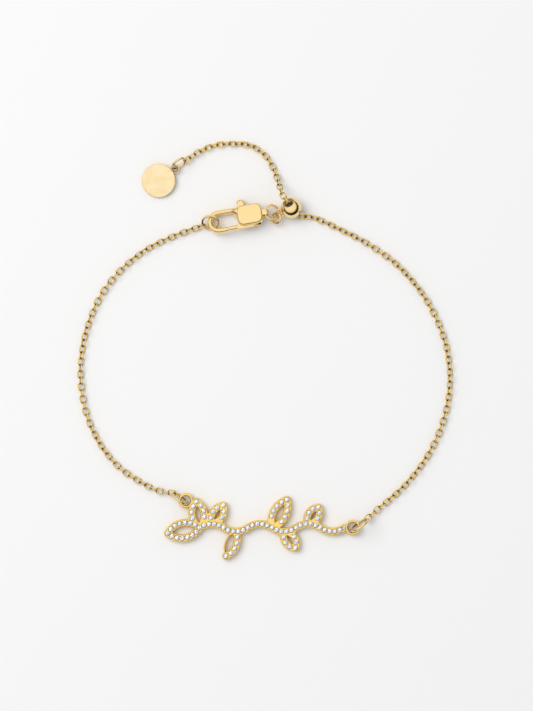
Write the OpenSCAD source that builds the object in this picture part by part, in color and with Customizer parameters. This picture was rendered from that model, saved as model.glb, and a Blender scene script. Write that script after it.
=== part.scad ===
// Nameplate bracelet lying flat, closed, with its slider bead and tail chain. Millimetres, +Z up.

/* [Chain] */
// Wire diameter of a chain link
link_wire = 0.24; // [0.2:0.01:0.28]
// Outer width of a chain link
link_w = 1.2; // [1.12:0.02:1.3]
// Distance from one link to the next
link_pitch = 1.08; // [1.0:0.02:1.2]
// Free play where two links hook together
link_play = 0.2; // [0.16:0.01:0.22]
// Roll of the steeper links away from flat (deg)
steep_roll = 53; // [50:1:58]
// Roll of the flatter links away from flat (deg)
flat_roll = 35; // [30:1:38]
// How much further the links turn over along the middle of a chain (deg)
mid_roll = 13; // [0:1:16]
// Slow drift of that turn from place to place (deg)
roll_drift = 12; // [0:1:14]

/* [Plate] */
// Thickness of the plate
plate_h = 1.2; // [1.0:0.05:1.6]
// Width of a stone-set stroke
stroke_w = 1.3; // [1.2:0.05:1.5]
// Width of the plain wire stroke
thin_w = 0.28; // [0.2:0.02:0.5]
// Bend radius of the stem's waves
stem_r = 3.57; // [3.2:0.05:4.5]
// Half the narrowest gap left open where two strokes meet
web_gap = 0.12; // [0.05:0.01:0.3]
// Thickness of the two eyes, flush with the plate's top
eye_h = 0.62; // [0.5:0.02:0.7]
// Hole of the left eye
left_eye_hole = 1.6; // [1.4:0.05:1.8]
// Hole of the right eye
right_eye_hole = 1.7; // [1.4:0.05:1.8]
// Width of the metal around an eye's hole
eye_rim = 0.48; // [0.35:0.01:0.6]

/* [Stones] */
// Diameter of a stone across its girdle
stone_d = 0.76; // [0.7:0.01:0.78]
// Distance between neighbouring stones
stone_pitch = 0.87; // [0.87:0.01:1.2]
// Height of a stone above its girdle
stone_crown = 0.15; // [0.1:0.01:0.2]
// Depth of a stone below its girdle
stone_pavilion = 0.34; // [0.25:0.01:0.4]
// How deep the girdle lies under the plate's top
stone_sink = 0.1; // [0.04:0.01:0.2]
// Clearance around and under a stone in its seat
seat_gap = 0.02; // [0.01:0.01:0.05]

/* [Jump rings] */
// Wire of the jump rings at the plate, hook and tag
ring_wire = 0.4; // [0.34:0.02:0.42]
// Wire of the jump ring in the clasp's tail
tail_ring_wire = 0.38; // [0.34:0.01:0.4]
// Outer diameter of the ring in the hook
clasp_ring_d = 3.2; // [3.1:0.05:3.3]
// Outer diameter of the ring in the clasp's tail
tail_ring_d = 2.9; // [2.84:0.02:2.94]
// Outer diameter of the left plate ring
left_ring_d = 3.3; // [3.2:0.05:3.4]
// Outer diameter of the right plate ring
right_ring_d = 3.8; // [3.7:0.05:3.9]
// Outer diameter of the tag ring
tag_ring_d = 2.96; // [2.9:0.02:3.04]
// Outer diameter of the small thick ring
link_ring_d = 2.22; // [2.18:0.02:2.26]
// Wire of the small thick ring
link_ring_wire = 0.42; // [0.38:0.01:0.44]

/* [Clasp] */
// Length of the clasp from hook to tail
clasp_l = 10.64; // [10.4:0.02:10.9]
// Width of the clasp's body
body_w = 3.56; // [3.4:0.02:3.8]
// Thickness of the clasp's body
body_t = 2.42; // [2.3:0.02:2.8]
// Thickness of the hook
hook_t = 1.3; // [1.1:0.05:1.4]
// Width of the hook's arm
hook_w = 0.86; // [0.76:0.02:0.92]
// Outer radius of the hook
hook_r = 2.0; // [1.9:0.02:2.1]
// Rounding of the body's edges
body_edge = 0.3; // [0.2:0.05:0.5]
// Height of the slot between the cheeks
slot_h = 0.96; // [0.9:0.02:1.1]
// Clearance of the lever between the cheeks
lever_gap = 0.08; // [0.05:0.01:0.12]
// Diameter of the lever's hidden pin
pin_d = 0.7; // [0.5:0.02:0.9]
// Radial clearance of the lever on its pin
pin_gap = 0.03; // [0.02:0.01:0.06]
// Slit between the gate and the hook's nose
gate_slit = 0.14; // [0.1:0.01:0.2]
// Width of the thumb nub
nub_w = 1.2; // [1.0:0.05:1.3]
// How far the thumb nub stands out of the body
nub_out = 1.25; // [0.9:0.05:1.4]
// Hole of the tail eye
tail_hole = 0.84; // [0.8:0.01:0.88]

/* [Slider bead] */
// Diameter of the bead
bead_d = 3.56; // [3.4:0.02:3.7]
// Bore through the bead
bead_bore = 1.7; // [1.6:0.02:1.8]
// Bore through the soft liner
liner_bore = 1.4; // [1.36:0.01:1.46]
// Clearance between liner and bead
liner_gap = 0.01; // [0.01:0.01:0.04]
// How far the liner stays behind the bead's rim
liner_inset = 0.25; // [0.15:0.01:0.4]
// Wire of the bead's soldered loop
loop_wire = 0.3; // [0.26:0.01:0.34]

/* [Tag] */
// Diameter of the tag
tag_d = 5.7; // [5:0.05:6.4]
// Thickness of the tag
tag_h = 0.6; // [0.4:0.02:0.8]
// Outer diameter of the tag's eye
tag_eye_d = 1.6; // [1.56:0.02:1.64]
// Wire of the tag's eye
tag_eye_wire = 0.36; // [0.32:0.01:0.38]

/* [Hidden] */
$fn = 40;

// Middle of the whole piece in the drawing's own axes
mid = [0.02, -0.13];

// Turns a point by an angle about X, then Y, then Z
function turned(p, a) = let(
    px = [p.x, p.y * cos(a.x) - p.z * sin(a.x), p.y * sin(a.x) + p.z * cos(a.x)],
    py = [px.x * cos(a.y) + px.z * sin(a.y), px.y, px.z * cos(a.y) - px.x * sin(a.y)]
) [py.x * cos(a.z) - py.y * sin(a.z), py.x * sin(a.z) + py.y * cos(a.z), py.z];
function unit(v) = v / norm(v);
function across(v, axis) = v - (v * axis) * axis;
function polar(r, a) = [r * cos(a), r * sin(a)];
function heading(a, e) = [cos(e) * cos(a), cos(e) * sin(a), sin(e)];
function spot(x, y, z) = [x - mid.x, y - mid.y, z];

// Frames: [origin, angles] pairs for each placed piece; the clasp hangs from the middle of its tail eye
tail_wall = 0.24;
tail_x = clasp_l - tail_wall - tail_hole / 2;
clasp_turn = [-16, -4.8, 9.8];
clasp_at = [spot(0.025, 23.198, 1.945) - turned([tail_x, 0, 0], clasp_turn), clasp_turn];
plate_at = spot(-2.21, -30.26, 0);
bead_at = spot(4.437, 23.99, 2.1);
tag_at = [spot(-18.04, 28.71, 0), 35.7, 4.5];

// Middle radius of a ring's wire
clasp_ring_r = (clasp_ring_d - ring_wire) / 2;
tail_ring_r = (tail_ring_d - tail_ring_wire) / 2;
left_ring_r = (left_ring_d - ring_wire) / 2;
right_ring_r = (right_ring_d - ring_wire) / 2;
tag_ring_r = (tag_ring_d - ring_wire) / 2;
link_ring_r = (link_ring_d - link_ring_wire) / 2;

// A standing ring: horizontal heading of its plane and lean from flat
left_ring_turn = [75, 0, 145.5];
right_ring_turn = [102, 0, 33.6];
tag_ring_turn = [65.4, 0, 33.5];
function standing(r, wire, lean) = r * abs(sin(lean)) + wire / 2;
left_ring_at = spot(-14.47, -25.26, standing(left_ring_r, ring_wire, left_ring_turn.x));
right_ring_at = spot(16.07, -29.76, standing(right_ring_r, ring_wire, right_ring_turn.x));
tag_ring_at = spot(-14.54, 31.62, standing(tag_ring_r, ring_wire, tag_ring_turn.x));
function on_ring(at, turn, r, a) = at + turned([r * cos(a), r * sin(a), 0], turn);

// Points of the clasp in its own axes: X from the hook to the tail, Y across, Z through
hook_side = 0.25;
hook_mid = [hook_r, -hook_side];
arm_y = hook_mid.y + hook_r - hook_w / 2;
nose_y = hook_mid.y - hook_r + hook_w / 2;
body_l = 4.37;
body_plan_r = 1.1;
slot_wall = 0.55;
slot_front = 0.1;
mouth_l = 2;
mouth_y = 0.6;
tail_neck = 0.41;
body_x1 = tail_x - tail_neck;
body_x0 = body_x1 - body_l;
pin_inset = 1.77;
pin_side = 0.7;
pin_at = [body_x1 - pin_inset, -pin_side];
gate_lift = 0.06;
gate_y = nose_y + gate_lift;
gate_w = 0.74;
gate_thin = 0.1;
gate_reach = 4.42;
gate_inset = 0.25;
gate_step = body_x0 - gate_inset;
nub_inset = 0.83;
nub_x = body_x0 + nub_inset;
tail_eye_w = 1.0;
function on_clasp(p) = clasp_at[0] + turned(p, clasp_at[1]);

// The two jump rings of the clasp, in the clasp's own axes
clasp_ring_c = [0.53, -0.09, 0];
clasp_ring_n = unit([-0.093, -0.77, 0.631]);
tail_ring_turn = [13.6, 29.8, 0];
tail_ring_c = [tail_x, 0, 0] + turned([tail_ring_r, 0, 0], tail_ring_turn);
link_ring_c = spot(1.955, 22.3, 1.243);
link_ring_n = unit([-0.7, 0, 0.714]);

// Directions of the bead's bore and of its soldered loop
bore_way = heading(118, 48);
loop_out = heading(205, -9);
loop_side = unit(across(heading(120, 28), loop_out));
loop_r = 0.76;
loop_tip = 2.8;
loop_sink = 0.4;

// Angles that turn +Z onto a direction
function facing(n) = [0, acos(n.z), atan2(n.y, n.x)];

// Smooth route through chosen points, and even steps along it
function between(a, b, c, d, t) = 0.5 * (2 * b + (c - a) * t + (2 * a - 5 * b + 4 * c - d) * t * t
    + (3 * b - a - 3 * c + d) * t * t * t);
route_steps = 10;
function smooth(p) = concat([
    for (i = [0:len(p) - 2])
        for (k = [0:route_steps - 1])
            between(p[max(i - 1, 0)], p[i], p[i + 1], p[min(i + 2, len(p) - 1)], k / route_steps)
], [p[len(p) - 1]]);
function lengths(p) = [
    for (i = 0, s = 0; i < len(p); i = i + 1, s = s + (i < len(p) ? norm(p[i] - p[i - 1]) : 0)) s
];
function table(s, p, k) = [for (i = [0:len(p) - 1]) [s[i], p[i][k]]];
function stepped(p, n) = let(
    s = lengths(p),
    tx = table(s, p, 0),
    ty = table(s, p, 1),
    tz = table(s, p, 2),
    whole = s[len(s) - 1]
) [for (i = [0:n]) let(at = whole * i / n) [lookup(at, tx), lookup(at, ty), lookup(at, tz)]];
function route_length(p) = let(s = lengths(p)) s[len(s) - 1];
function even_count(p) = 2 * ceil(route_length(p) / link_pitch / 2);

// Joint points, link by link directions and the up direction carried along them
function ways(j) = [for (i = [0:len(j) - 2]) unit(j[i + 1] - j[i])];
function ups(w) = [
    for (i = 0, u = unit(across([0, 0, 1], w[0])); i < len(w);
        i = i + 1, u = i < len(w) ? unit(across(u, w[i])) : u) u
];

// Link sizes that follow from the wire, the pitch and the play
link_inner = link_pitch + link_play;
bow_r = (link_w - link_wire) / 2;
link_straight = link_inner + link_wire - 2 * bow_r;
bow_over = (link_inner + link_wire - link_pitch) / 2;
rest_z = bow_r * (sin(steep_roll) + sin(flat_roll)) / 2 + link_wire / 2;
hang_gap = 0.12;
function ring_seat(wire) = link_wire / 2 + wire / 2 + hang_gap - bow_over;
roll_ease = 8;
drift_step = 23;
wander = 50;
wander_step = 7;
roll_jitter = 3;
jitter_step = 137;
link_sag = 0.1;
function roll_shift(i, n) = max(0, min(1, i / roll_ease, (n - 1 - i) / roll_ease))
    * (mid_roll + roll_drift * sin(drift_step * i + wander * sin(wander_step * i)));
function roll_of(i, n, first, hand) = let(k = i + first, shift = roll_shift(i, n))
    hand * (k % 2 == 0 ? -steep_roll - shift : flat_roll - shift) + roll_jitter * sin(jitter_step * k);
function lying(roll) = bow_r * abs(sin(roll)) + link_wire / 2;
function rest_height(lean, dip) = bow_r * abs(lean) + link_wire / 2 + abs(dip) * link_straight / 2;
end_links = 5;
function end_turn(i, n, turns) = turns[0] * max(0, 1 - i / end_links)
    + turns[1] * max(0, 1 - (n - 1 - i) / end_links);

module link() {
    for (half = [0, 180])
        rotate([0, 0, half])
            translate([link_straight / 2, 0, 0])
                rotate([0, 0, -90])
                    rotate_extrude(angle = 180)
                        translate([bow_r, 0])
                            circle(d = link_wire);
    for (side = [-1, 1])
        translate([-link_straight / 2, side * bow_r, 0])
            rotate([0, 90, 0])
                cylinder(d = link_wire, h = link_straight);
}

// A chain on joint points: steep links rest on the surface, flatter ones hang between them
lift_fade = 0.3;
module chain(joints, first, hand, turns) {
    w = ways(joints);
    u = ups(w);
    n = len(w);
    for (i = [0:n - 1]) {
        m = (joints[i] + joints[i + 1]) / 2;
        plain = roll_of(i, n, first, hand);
        before = lying(roll_of(i - 1, n, first, hand));
        after = lying(roll_of(i + 1, n, first, hand));
        beside = max(before, after) - link_sag;
        roll = plain + end_turn(i, n, turns);
        grounded = max(0, min(1, 1 - (m.z - rest_z) / lift_fade));
        side = cross(u[i], w[i]);
        own = rest_height(cos(plain) * side.z + sin(plain) * u[i].z, 0);
        sway = grounded * (max(own, beside) - rest_z);
        lean = cos(roll) * side.z + sin(roll) * u[i].z;
        c = [m.x, m.y, max(rest_height(lean, w[i].z), m.z + sway)];
        multmatrix([
            [w[i].x, side.x, u[i].x, c.x],
            [w[i].y, side.y, u[i].y, c.y],
            [w[i].z, side.z, u[i].z, c.z],
            [0, 0, 0, 1]
        ])
            rotate([roll, 0, 0])
                link();
    }
}

module ring(at, turn, r, wire) {
    translate(at)
        rotate(turn)
            rotate_extrude()
                translate([r, 0])
                    circle(d = wire);
}

// Chosen points of the three chain routes, with a lift where they leave the surface
left_points = [
    [-12.6, 20.35, 0.12], [-16.7, 18.75], [-20.8, 16.55], [-24.8, 13.2], [-27.8, 9.3], [-29.9, 4.7],
    [-31.1, -0.3], [-31.3, -5.5], [-30.3, -11.1], [-28.0, -16.1], [-24.7, -20.1], [-20.3, -23.0],
    [-17.9, -24.05, 0.25]
];
right_points = [
    [18.9, -27.3, 0.3], [20.9, -25.7, 0.05], [24.4, -22.4], [27.7, -17.9], [30.1, -12.7], [31.3, -7.2],
    [31.2, -1.7], [29.8, 3.6], [26.9, 9.2], [22.4, 14.4], [17.0, 18.2], [12.0, 20.75], [8.6, 22.3],
    [7.0, 22.55], [6.0, 22.6, 0.1]
];
tail_points = [
    [-11.6, 33.35, 0.3], [-10.0, 34.15, 0.05], [-8.0, 34.8], [-5.0, 34.95], [-2.3, 34.6], [0.1, 32.9],
    [1.45, 30.7], [2.05, 29.1, 0.3], [2.4, 28.0, 1.1], [2.65, 27.0, 2.0], [3.0, 26.1, 2.75], [3.45, 25.45, 3.05]
];

// Extra roll of each chain's first and last links, towards the rings they hang on and each other
left_turns = [6, 45];
right_turns = [-25, 50];
tail_turns = [10, 70];

// The three routes with their ends on the rings and in the bead
function laid(p) = [for (q = p) spot(q.x, q.y, rest_z + (len(q) > 2 ? q.z : 0))];
function from_ring(p, wire, toward) = p - ring_seat(wire) * unit(toward - p);
left_start = on_clasp(clasp_ring_c + turned(polar3(clasp_ring_r, 292), facing(clasp_ring_n)));
left_end = on_ring(left_ring_at, left_ring_turn, left_ring_r, -22);
right_start = on_ring(right_ring_at, right_ring_turn, right_ring_r, -24);
tail_start = on_ring(tag_ring_at, tag_ring_turn, tag_ring_r, -22);
function polar3(r, a) = [r * cos(a), r * sin(a), 0];
left_route = let(p = laid(left_points)) smooth(concat(
    [from_ring(left_start, ring_wire, p[0])], p, [from_ring(left_end, ring_wire, p[len(p) - 1])]));
bore_half = 0.5 * link_pitch;
right_route = let(p = laid(right_points)) smooth(concat(
    [from_ring(right_start, ring_wire, p[0])], p,
    [bead_at - 1.5 * link_pitch * bore_way, bead_at - bore_half * bore_way]));
tail_route = let(p = laid(tail_points)) smooth(concat(
    [from_ring(tail_start, ring_wire, p[0])], p,
    [bead_at + 1.5 * link_pitch * bore_way, bead_at - bore_half * bore_way]));

module left_chain() color("gold") chain(stepped(left_route, even_count(left_route)), 0, -1, left_turns);
module right_chain() color("gold") chain(stepped(right_route, even_count(right_route)), 1, 1, right_turns);
module tail_chain() color("goldenrod") chain(stepped(tail_route, even_count(tail_route)), 1, -1, tail_turns);

// Plate: arcs of the ornament as [centre x, centre y, radius, start angle, sweep]
left_eye_at = [-11.24, 4.62];
right_eye_at = [17.12, 0.03];
right_eye_r = right_eye_hole / 2 + eye_rim;
left_eye_r = left_eye_hole / 2 + eye_rim;
stem_lead = 2.36;
stem_gap = 0.1;
stem_waves = 6;
stem_x = left_eye_at.x + stem_lead;
stem_step = (right_eye_at.x - right_eye_r - stem_gap - stem_x) / stem_waves;
stem_turn = 2 * asin(stem_step / 2 / stem_r);
stem_rise = stem_r * (1 - cos(stem_turn / 2));
function node_at(k) = [stem_x + k * stem_step, 0];
function wave(k) = let(s = k % 2 == 0 ? 1 : -1) [
    node_at(k + 0.5).x, -s * (stem_r - stem_rise), stem_r, s * (90 + stem_turn / 2), -s * stem_turn];
stem = [for (k = [0:stem_waves - 1]) wave(k)];
function crest(k) = [node_at(k + 0.5).x, (k % 2 == 0 ? 1 : -1) * stem_rise];

// A leaf is two arcs on one chord, from its base towards a direction
function leaf_side(base, dir, chord, bulge, s) = let(
    r = (chord * chord / 4 + bulge * bulge) / 2 / bulge,
    half = asin(chord / 2 / r),
    c = base + polar(chord / 2, dir) + polar(r - bulge, dir - s * 90)
) [c.x, c.y, r, dir + s * (90 + half), -s * 2 * half];
function leaf(base, dir, chord, bulge) = [
    leaf_side(base, dir, chord, bulge, 1), leaf_side(base, dir, chord, bulge, -1)];
far_left = leaf(node_at(0), 190, 5.5, 1.3);
up_left = leaf(node_at(0), 97, 4.5, 1.05);
up_small = leaf(crest(0), 58, 3.7, 0.9);
down_wired = leaf(crest(1), -112, 4.5, 0.95);
up_tall = leaf(node_at(3), 62, 5.4, 1.1);
down_right = leaf(crest(3), -55, 3.4, 0.9);
up_right = leaf(crest(4), 58, 3.3, 0.9);
thin_arc = down_wired[1];
set_arcs = concat(stem, far_left, up_left, up_small, [down_wired[0]], up_tall, down_right, up_right);

function arc_point(a, t) = [a[0], a[1]] + polar(a[2], a[3] + t * a[4]);
function arc_length(a) = a[2] * abs(a[4]) * PI / 180;
function arc_places(a) = let(n = max(1, floor(arc_length(a) / stone_pitch)))
    [for (k = [0:n]) arc_point(a, k / n)];
stone_clear = 0.1;
function free_of(p, kept) = min([for (q = kept) norm(p - q)]) >= stone_d + stone_clear;
function sown(p, i, kept) = i >= len(p) ? kept
    : sown(p, i + 1, len(kept) == 0 || free_of(p[i], kept) ? concat(kept, [p[i]]) : kept);
stone_spots = sown([for (a = set_arcs) each arc_places(a)], 0, []);

// Outline of one stroke: short chords along both sides of its arc and round both ends, on a fine grid
chord_step = 0.45;
cap_chords = 12;
fine_grid = 0.001;
function gridded(p) = [round(p.x / fine_grid) * fine_grid, round(p.y / fine_grid) * fine_grid];
function cap(p, w, from, hand) = [
    for (k = [1:cap_chords - 1])
        p + polar(w / 2, from + hand * 180 * k / cap_chords)
];
module stroke(a, w) {
    n = ceil(arc_length(a) / chord_step);
    hand = sign(a[4]);
    outer = [a[0], a[1], a[2] + w / 2, a[3], a[4]];
    inner = [a[0], a[1], a[2] - w / 2, a[3], a[4]];
    rim = concat(
        [for (k = [0:n]) arc_point(outer, k / n)],
        cap(arc_point(a, 1), w, a[3] + a[4], hand),
        [for (k = [n:-1:0]) arc_point(inner, k / n)],
        cap(arc_point(a, 0), w, a[3] + 180, hand));
    polygon([for (p = rim) gridded(p)]);
}

module plate() {
    seat_r = stone_d / 2 + seat_gap;
    seat_h = stone_sink + stone_pavilion + seat_gap;
    color("gold")
        translate(plate_at)
            difference() {
                union() {
                    linear_extrude(plate_h)
                        offset(delta = -web_gap)
                            offset(delta = web_gap) {
                                for (a = set_arcs)
                                    stroke(a, stroke_w);
                                stroke(thin_arc, thin_w);
                            }
                    translate([left_eye_at.x, left_eye_at.y, plate_h - eye_h])
                        cylinder(r = left_eye_r, h = eye_h);
                    translate([right_eye_at.x, right_eye_at.y, plate_h - eye_h])
                        cylinder(r = right_eye_r, h = eye_h);
                }
                translate([left_eye_at.x, left_eye_at.y, -1])
                    cylinder(d = left_eye_hole, h = plate_h + 2);
                translate([right_eye_at.x, right_eye_at.y, -1])
                    cylinder(d = right_eye_hole, h = plate_h + 2);
                for (s = stone_spots)
                    translate([s.x, s.y, plate_h - seat_h])
                        cylinder(r = seat_r, h = seat_h + 1);
            }
}

// A round stone: eight-sided table, sixteen crown facets, eight pavilion facets
stone_table = 0.56;
module stone() {
    points = concat(
        [for (k = [0:7]) concat(polar(stone_table * stone_d / 2, 45 * k + 22.5), stone_crown)],
        [for (k = [0:7]) concat(polar(stone_d / 2, 45 * k), 0)],
        [[0, 0, -stone_pavilion]]);
    faces = concat(
        [[for (k = [7:-1:0]) k]],
        [for (k = [0:7]) [k, (k + 1) % 8, 8 + (k + 1) % 8]],
        [for (k = [0:7]) [k, 8 + (k + 1) % 8, 8 + k]],
        [for (k = [0:7]) [8 + k, 8 + (k + 1) % 8, 16]]);
    polyhedron(points, faces);
}

module stones() {
    color("white")
        translate(plate_at + [0, 0, plate_h - stone_sink])
            for (s = stone_spots)
                translate([s.x, s.y, 0])
                    stone();
}

// Outline of the body as a rounded rectangle between two corners
module rounded(x0, y0, x1, y1, r) {
    translate([x0 + r, y0])
        square([x1 - x0 - 2 * r, y1 - y0]);
    translate([x0, y0 + r])
        square([x1 - x0, y1 - y0 - 2 * r]);
    for (x = [x0 + r, x1 - r])
        for (y = [y0 + r, y1 - r])
            translate([x, y])
                circle(r = r);
}

module hook() {
    arm_h = hook_t;
    translate([hook_mid.x, hook_mid.y, -arm_h / 2])
        rotate([0, 0, 90])
            rotate_extrude(angle = 180)
                translate([hook_r - hook_w, 0])
                    square([hook_w, arm_h]);
    translate([hook_mid.x, arm_y - hook_w / 2, -arm_h / 2])
        cube([body_x0 + slot_front - hook_mid.x, hook_w, arm_h]);
    difference() {
        translate([hook_mid.x, nose_y - hook_w / 2, -arm_h / 2])
            cube([body_x0 - hook_w - hook_mid.x, hook_w, arm_h]);
        translate([pin_at.x, pin_at.y, -arm_h])
            cylinder(r = gate_reach + gate_slit, h = 2 * arm_h);
    }
}

module body_block() {
    intersection() {
        translate([0, 0, -body_t / 2])
            linear_extrude(body_t)
                rounded(body_x0, -body_w / 2, body_x1, body_w / 2, body_plan_r);
        translate([body_x0, 0, 0])
            rotate([90, 0, 90])
                linear_extrude(body_x1 - body_x0)
                    rounded(-body_w / 2, -body_t / 2, body_w / 2, body_t / 2, body_edge);
        translate([0, body_w / 2, 0])
            rotate([90, 0, 0])
                linear_extrude(body_w)
                    rounded(body_x0, -body_t / 2, body_x1, body_t / 2, body_edge);
    }
}

module clasp_body() {
    slot_x0 = body_x0 + slot_front;
    slot_l = body_x1 - slot_wall - slot_x0;
    color("gold")
        translate(clasp_at[0])
            rotate(clasp_at[1]) {
                difference() {
                    union() {
                        body_block();
                        translate([body_x0 - slot_front / 2, arm_y - hook_w / 2, -hook_t / 2])
                            cube([mouth_l / 2, hook_w, hook_t]);
                    }
                    translate([slot_x0, -body_w, -slot_h / 2])
                        cube([slot_l, 2 * body_w, slot_h]);
                    translate([body_x0 - mouth_l / 2, -body_w, -slot_h / 2])
                        cube([mouth_l, body_w + mouth_y, slot_h]);
                }
                translate([pin_at.x, pin_at.y, -slot_h / 2])
                    cylinder(d = pin_d, h = slot_h);
                hook();
                tail_eye();
            }
}

module tail_eye() {
    neck_root = 0.3;
    eye_r = tail_hole / 2 + tail_wall;
    difference() {
        union() {
            translate([tail_x, tail_eye_w / 2, 0])
                rotate([90, 0, 0])
                    cylinder(r = eye_r, h = tail_eye_w);
            translate([body_x1 - neck_root, -tail_eye_w / 2, -eye_r])
                cube([tail_neck + neck_root, tail_eye_w, 2 * eye_r]);
        }
        translate([tail_x, tail_eye_w, 0])
            rotate([90, 0, 0])
                cylinder(d = tail_hole, h = 2 * tail_eye_w);
    }
}

module clasp_lever() {
    lever_t = slot_h - 2 * lever_gap;
    gate_t = hook_t - gate_thin;
    gate_block = 2;
    gate_lap = 0.1;
    nub_top = body_w / 2 + nub_out;
    hub_r = 1.05;
    heel = [0.95, -0.3];
    back = [0.7, 0.8];
    shoulder_y = 1.3;
    nub_l = nub_x - nub_w / 2;
    nub_r = nub_x + nub_w / 2;
    color("goldenrod")
        translate(clasp_at[0])
            rotate(clasp_at[1])
                difference() {
                    union() {
                        translate([0, 0, -lever_t / 2])
                            linear_extrude(lever_t)
                                polygon([
                                    [nub_l, gate_y - gate_w / 2], [pin_at.x, gate_y - gate_w / 2 + gate_lap],
                                    pin_at + heel, pin_at + back, [nub_r, shoulder_y],
                                    [nub_r, nub_top - nub_w / 2], [nub_l, nub_top - nub_w / 2]
                                ]);
                        translate([pin_at.x, pin_at.y, -lever_t / 2])
                            cylinder(r = hub_r, h = lever_t);
                        translate([nub_x, nub_top - nub_w / 2, -lever_t / 2])
                            cylinder(d = nub_w, h = lever_t);
                        intersection() {
                            translate([gate_step - gate_block, gate_y - gate_w / 2, -gate_t / 2])
                                cube([gate_block, gate_w, gate_t]);
                            translate([pin_at.x, pin_at.y, -gate_t])
                                cylinder(r = gate_reach, h = 2 * gate_t);
                        }
                        translate([gate_step - gate_lap, gate_y - gate_w / 2, -lever_t / 2])
                            cube([nub_l - gate_step + 2 * gate_lap, gate_w, lever_t]);
                    }
                    translate([pin_at.x, pin_at.y, -slot_h])
                        cylinder(d = pin_d + 2 * pin_gap, h = 2 * slot_h);
                }
}

module clasp_ring() {
    color("gold")
        translate(clasp_at[0])
            rotate(clasp_at[1])
                ring(clasp_ring_c, facing(clasp_ring_n), clasp_ring_r, ring_wire);
}

module clasp_tail_ring() {
    color("gold")
        translate(clasp_at[0])
            rotate(clasp_at[1])
                ring(tail_ring_c, tail_ring_turn, tail_ring_r, tail_ring_wire);
}

module link_ring() color("goldenrod") ring(link_ring_c, facing(link_ring_n), link_ring_r, link_ring_wire);
module left_plate_ring() color("gold") ring(left_ring_at, left_ring_turn, left_ring_r, ring_wire);
module right_plate_ring() color("gold") ring(right_ring_at, right_ring_turn, right_ring_r, ring_wire);
module tag_ring() color("gold") ring(tag_ring_at, tag_ring_turn, tag_ring_r, ring_wire);

// The bead's soldered loop: half a ring on two short legs
module bead_loop() {
    root = loop_tip - loop_r;
    leg_x = bead_d / 2 - loop_sink;
    third = cross(loop_out, loop_side);
    multmatrix([
        [loop_out.x, loop_side.x, third.x, 0],
        [loop_out.y, loop_side.y, third.y, 0],
        [loop_out.z, loop_side.z, third.z, 0],
        [0, 0, 0, 1]
    ]) {
        translate([root, 0, 0])
            rotate([0, 0, -90])
                rotate_extrude(angle = 180)
                    translate([loop_r, 0])
                        circle(d = loop_wire);
        for (side = [-1, 1])
            translate([leg_x, side * loop_r, 0])
                rotate([0, 90, 0])
                    cylinder(d = loop_wire, h = root - leg_x);
    }
}

module slider_bead() {
    color("gold")
        translate(bead_at)
            difference() {
                union() {
                    sphere(d = bead_d);
                    bead_loop();
                }
                rotate(facing(bore_way))
                    translate([0, 0, -bead_d])
                        cylinder(d = bead_bore, h = 2 * bead_d);
            }
}

module bead_liner() {
    rim = sqrt(bead_d * bead_d - bead_bore * bead_bore) / 2;
    half = rim - liner_inset;
    color("gray")
        translate(bead_at)
            rotate(facing(bore_way))
                difference() {
                    translate([0, 0, -half])
                        cylinder(d = bead_bore - 2 * liner_gap, h = 2 * half);
                    translate([0, 0, -half - 1])
                        cylinder(d = liner_bore, h = 2 * half + 2);
                }
}

// The tag leans on its far edge, with its eye lifted by the ring under it
module tag() {
    eye_r = (tag_eye_d - tag_eye_wire) / 2;
    eye_sink = 0.05;
    eye_x = tag_d / 2 + eye_r - eye_sink;
    color("khaki")
        translate(tag_at[0])
            rotate([0, 0, tag_at[1]])
                translate([-tag_d / 2, 0, 0])
                    rotate([0, -tag_at[2], 0])
                        translate([tag_d / 2, 0, 0]) {
                            cylinder(d = tag_d, h = tag_h);
                            translate([eye_x, 0, tag_h / 2])
                                rotate_extrude()
                                    translate([eye_r, 0])
                                        circle(d = tag_eye_wire);
                        }
}

plate();
stones();
left_plate_ring();
right_plate_ring();
left_chain();
right_chain();
tail_chain();
clasp_body();
clasp_lever();
clasp_ring();
clasp_tail_ring();
link_ring();
slider_bead();
bead_liner();
tag_ring();
tag();
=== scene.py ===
"""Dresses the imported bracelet: polished links, jump rings, stone-set plate, clasp, slider bead and tag."""

import math

import bmesh
import bpy
import numpy as np
from mathutils import Euler, Matrix, Vector


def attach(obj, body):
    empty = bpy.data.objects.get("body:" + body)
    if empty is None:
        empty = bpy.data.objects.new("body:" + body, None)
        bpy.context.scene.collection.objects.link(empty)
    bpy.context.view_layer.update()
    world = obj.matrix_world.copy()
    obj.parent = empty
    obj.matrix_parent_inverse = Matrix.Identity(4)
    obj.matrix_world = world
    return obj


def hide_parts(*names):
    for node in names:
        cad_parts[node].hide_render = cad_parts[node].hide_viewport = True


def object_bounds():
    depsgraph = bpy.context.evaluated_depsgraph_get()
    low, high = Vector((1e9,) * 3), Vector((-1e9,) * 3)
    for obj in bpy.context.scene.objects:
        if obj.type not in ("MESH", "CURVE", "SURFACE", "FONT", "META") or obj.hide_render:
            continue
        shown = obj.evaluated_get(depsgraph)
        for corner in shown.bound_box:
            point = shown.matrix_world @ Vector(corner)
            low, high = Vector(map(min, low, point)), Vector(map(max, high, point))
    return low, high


bl_info = {
    "name": "Nameplate bracelet",
    "version": (1, 0, 0),
    "blender": (4, 5, 0),
    "location": "View3D > Sidebar > Bracelet",
    "description": "Builds a fine chain bracelet with a stone-set plate around its packed solids",
    "category": "Add Mesh",
}

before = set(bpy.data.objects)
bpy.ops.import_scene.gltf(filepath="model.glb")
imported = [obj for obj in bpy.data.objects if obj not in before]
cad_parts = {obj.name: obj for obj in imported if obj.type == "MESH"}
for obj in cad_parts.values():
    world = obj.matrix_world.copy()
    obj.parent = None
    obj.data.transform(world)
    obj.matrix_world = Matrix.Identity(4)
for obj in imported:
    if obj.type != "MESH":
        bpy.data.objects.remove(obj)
CAD_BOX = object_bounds()

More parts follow.
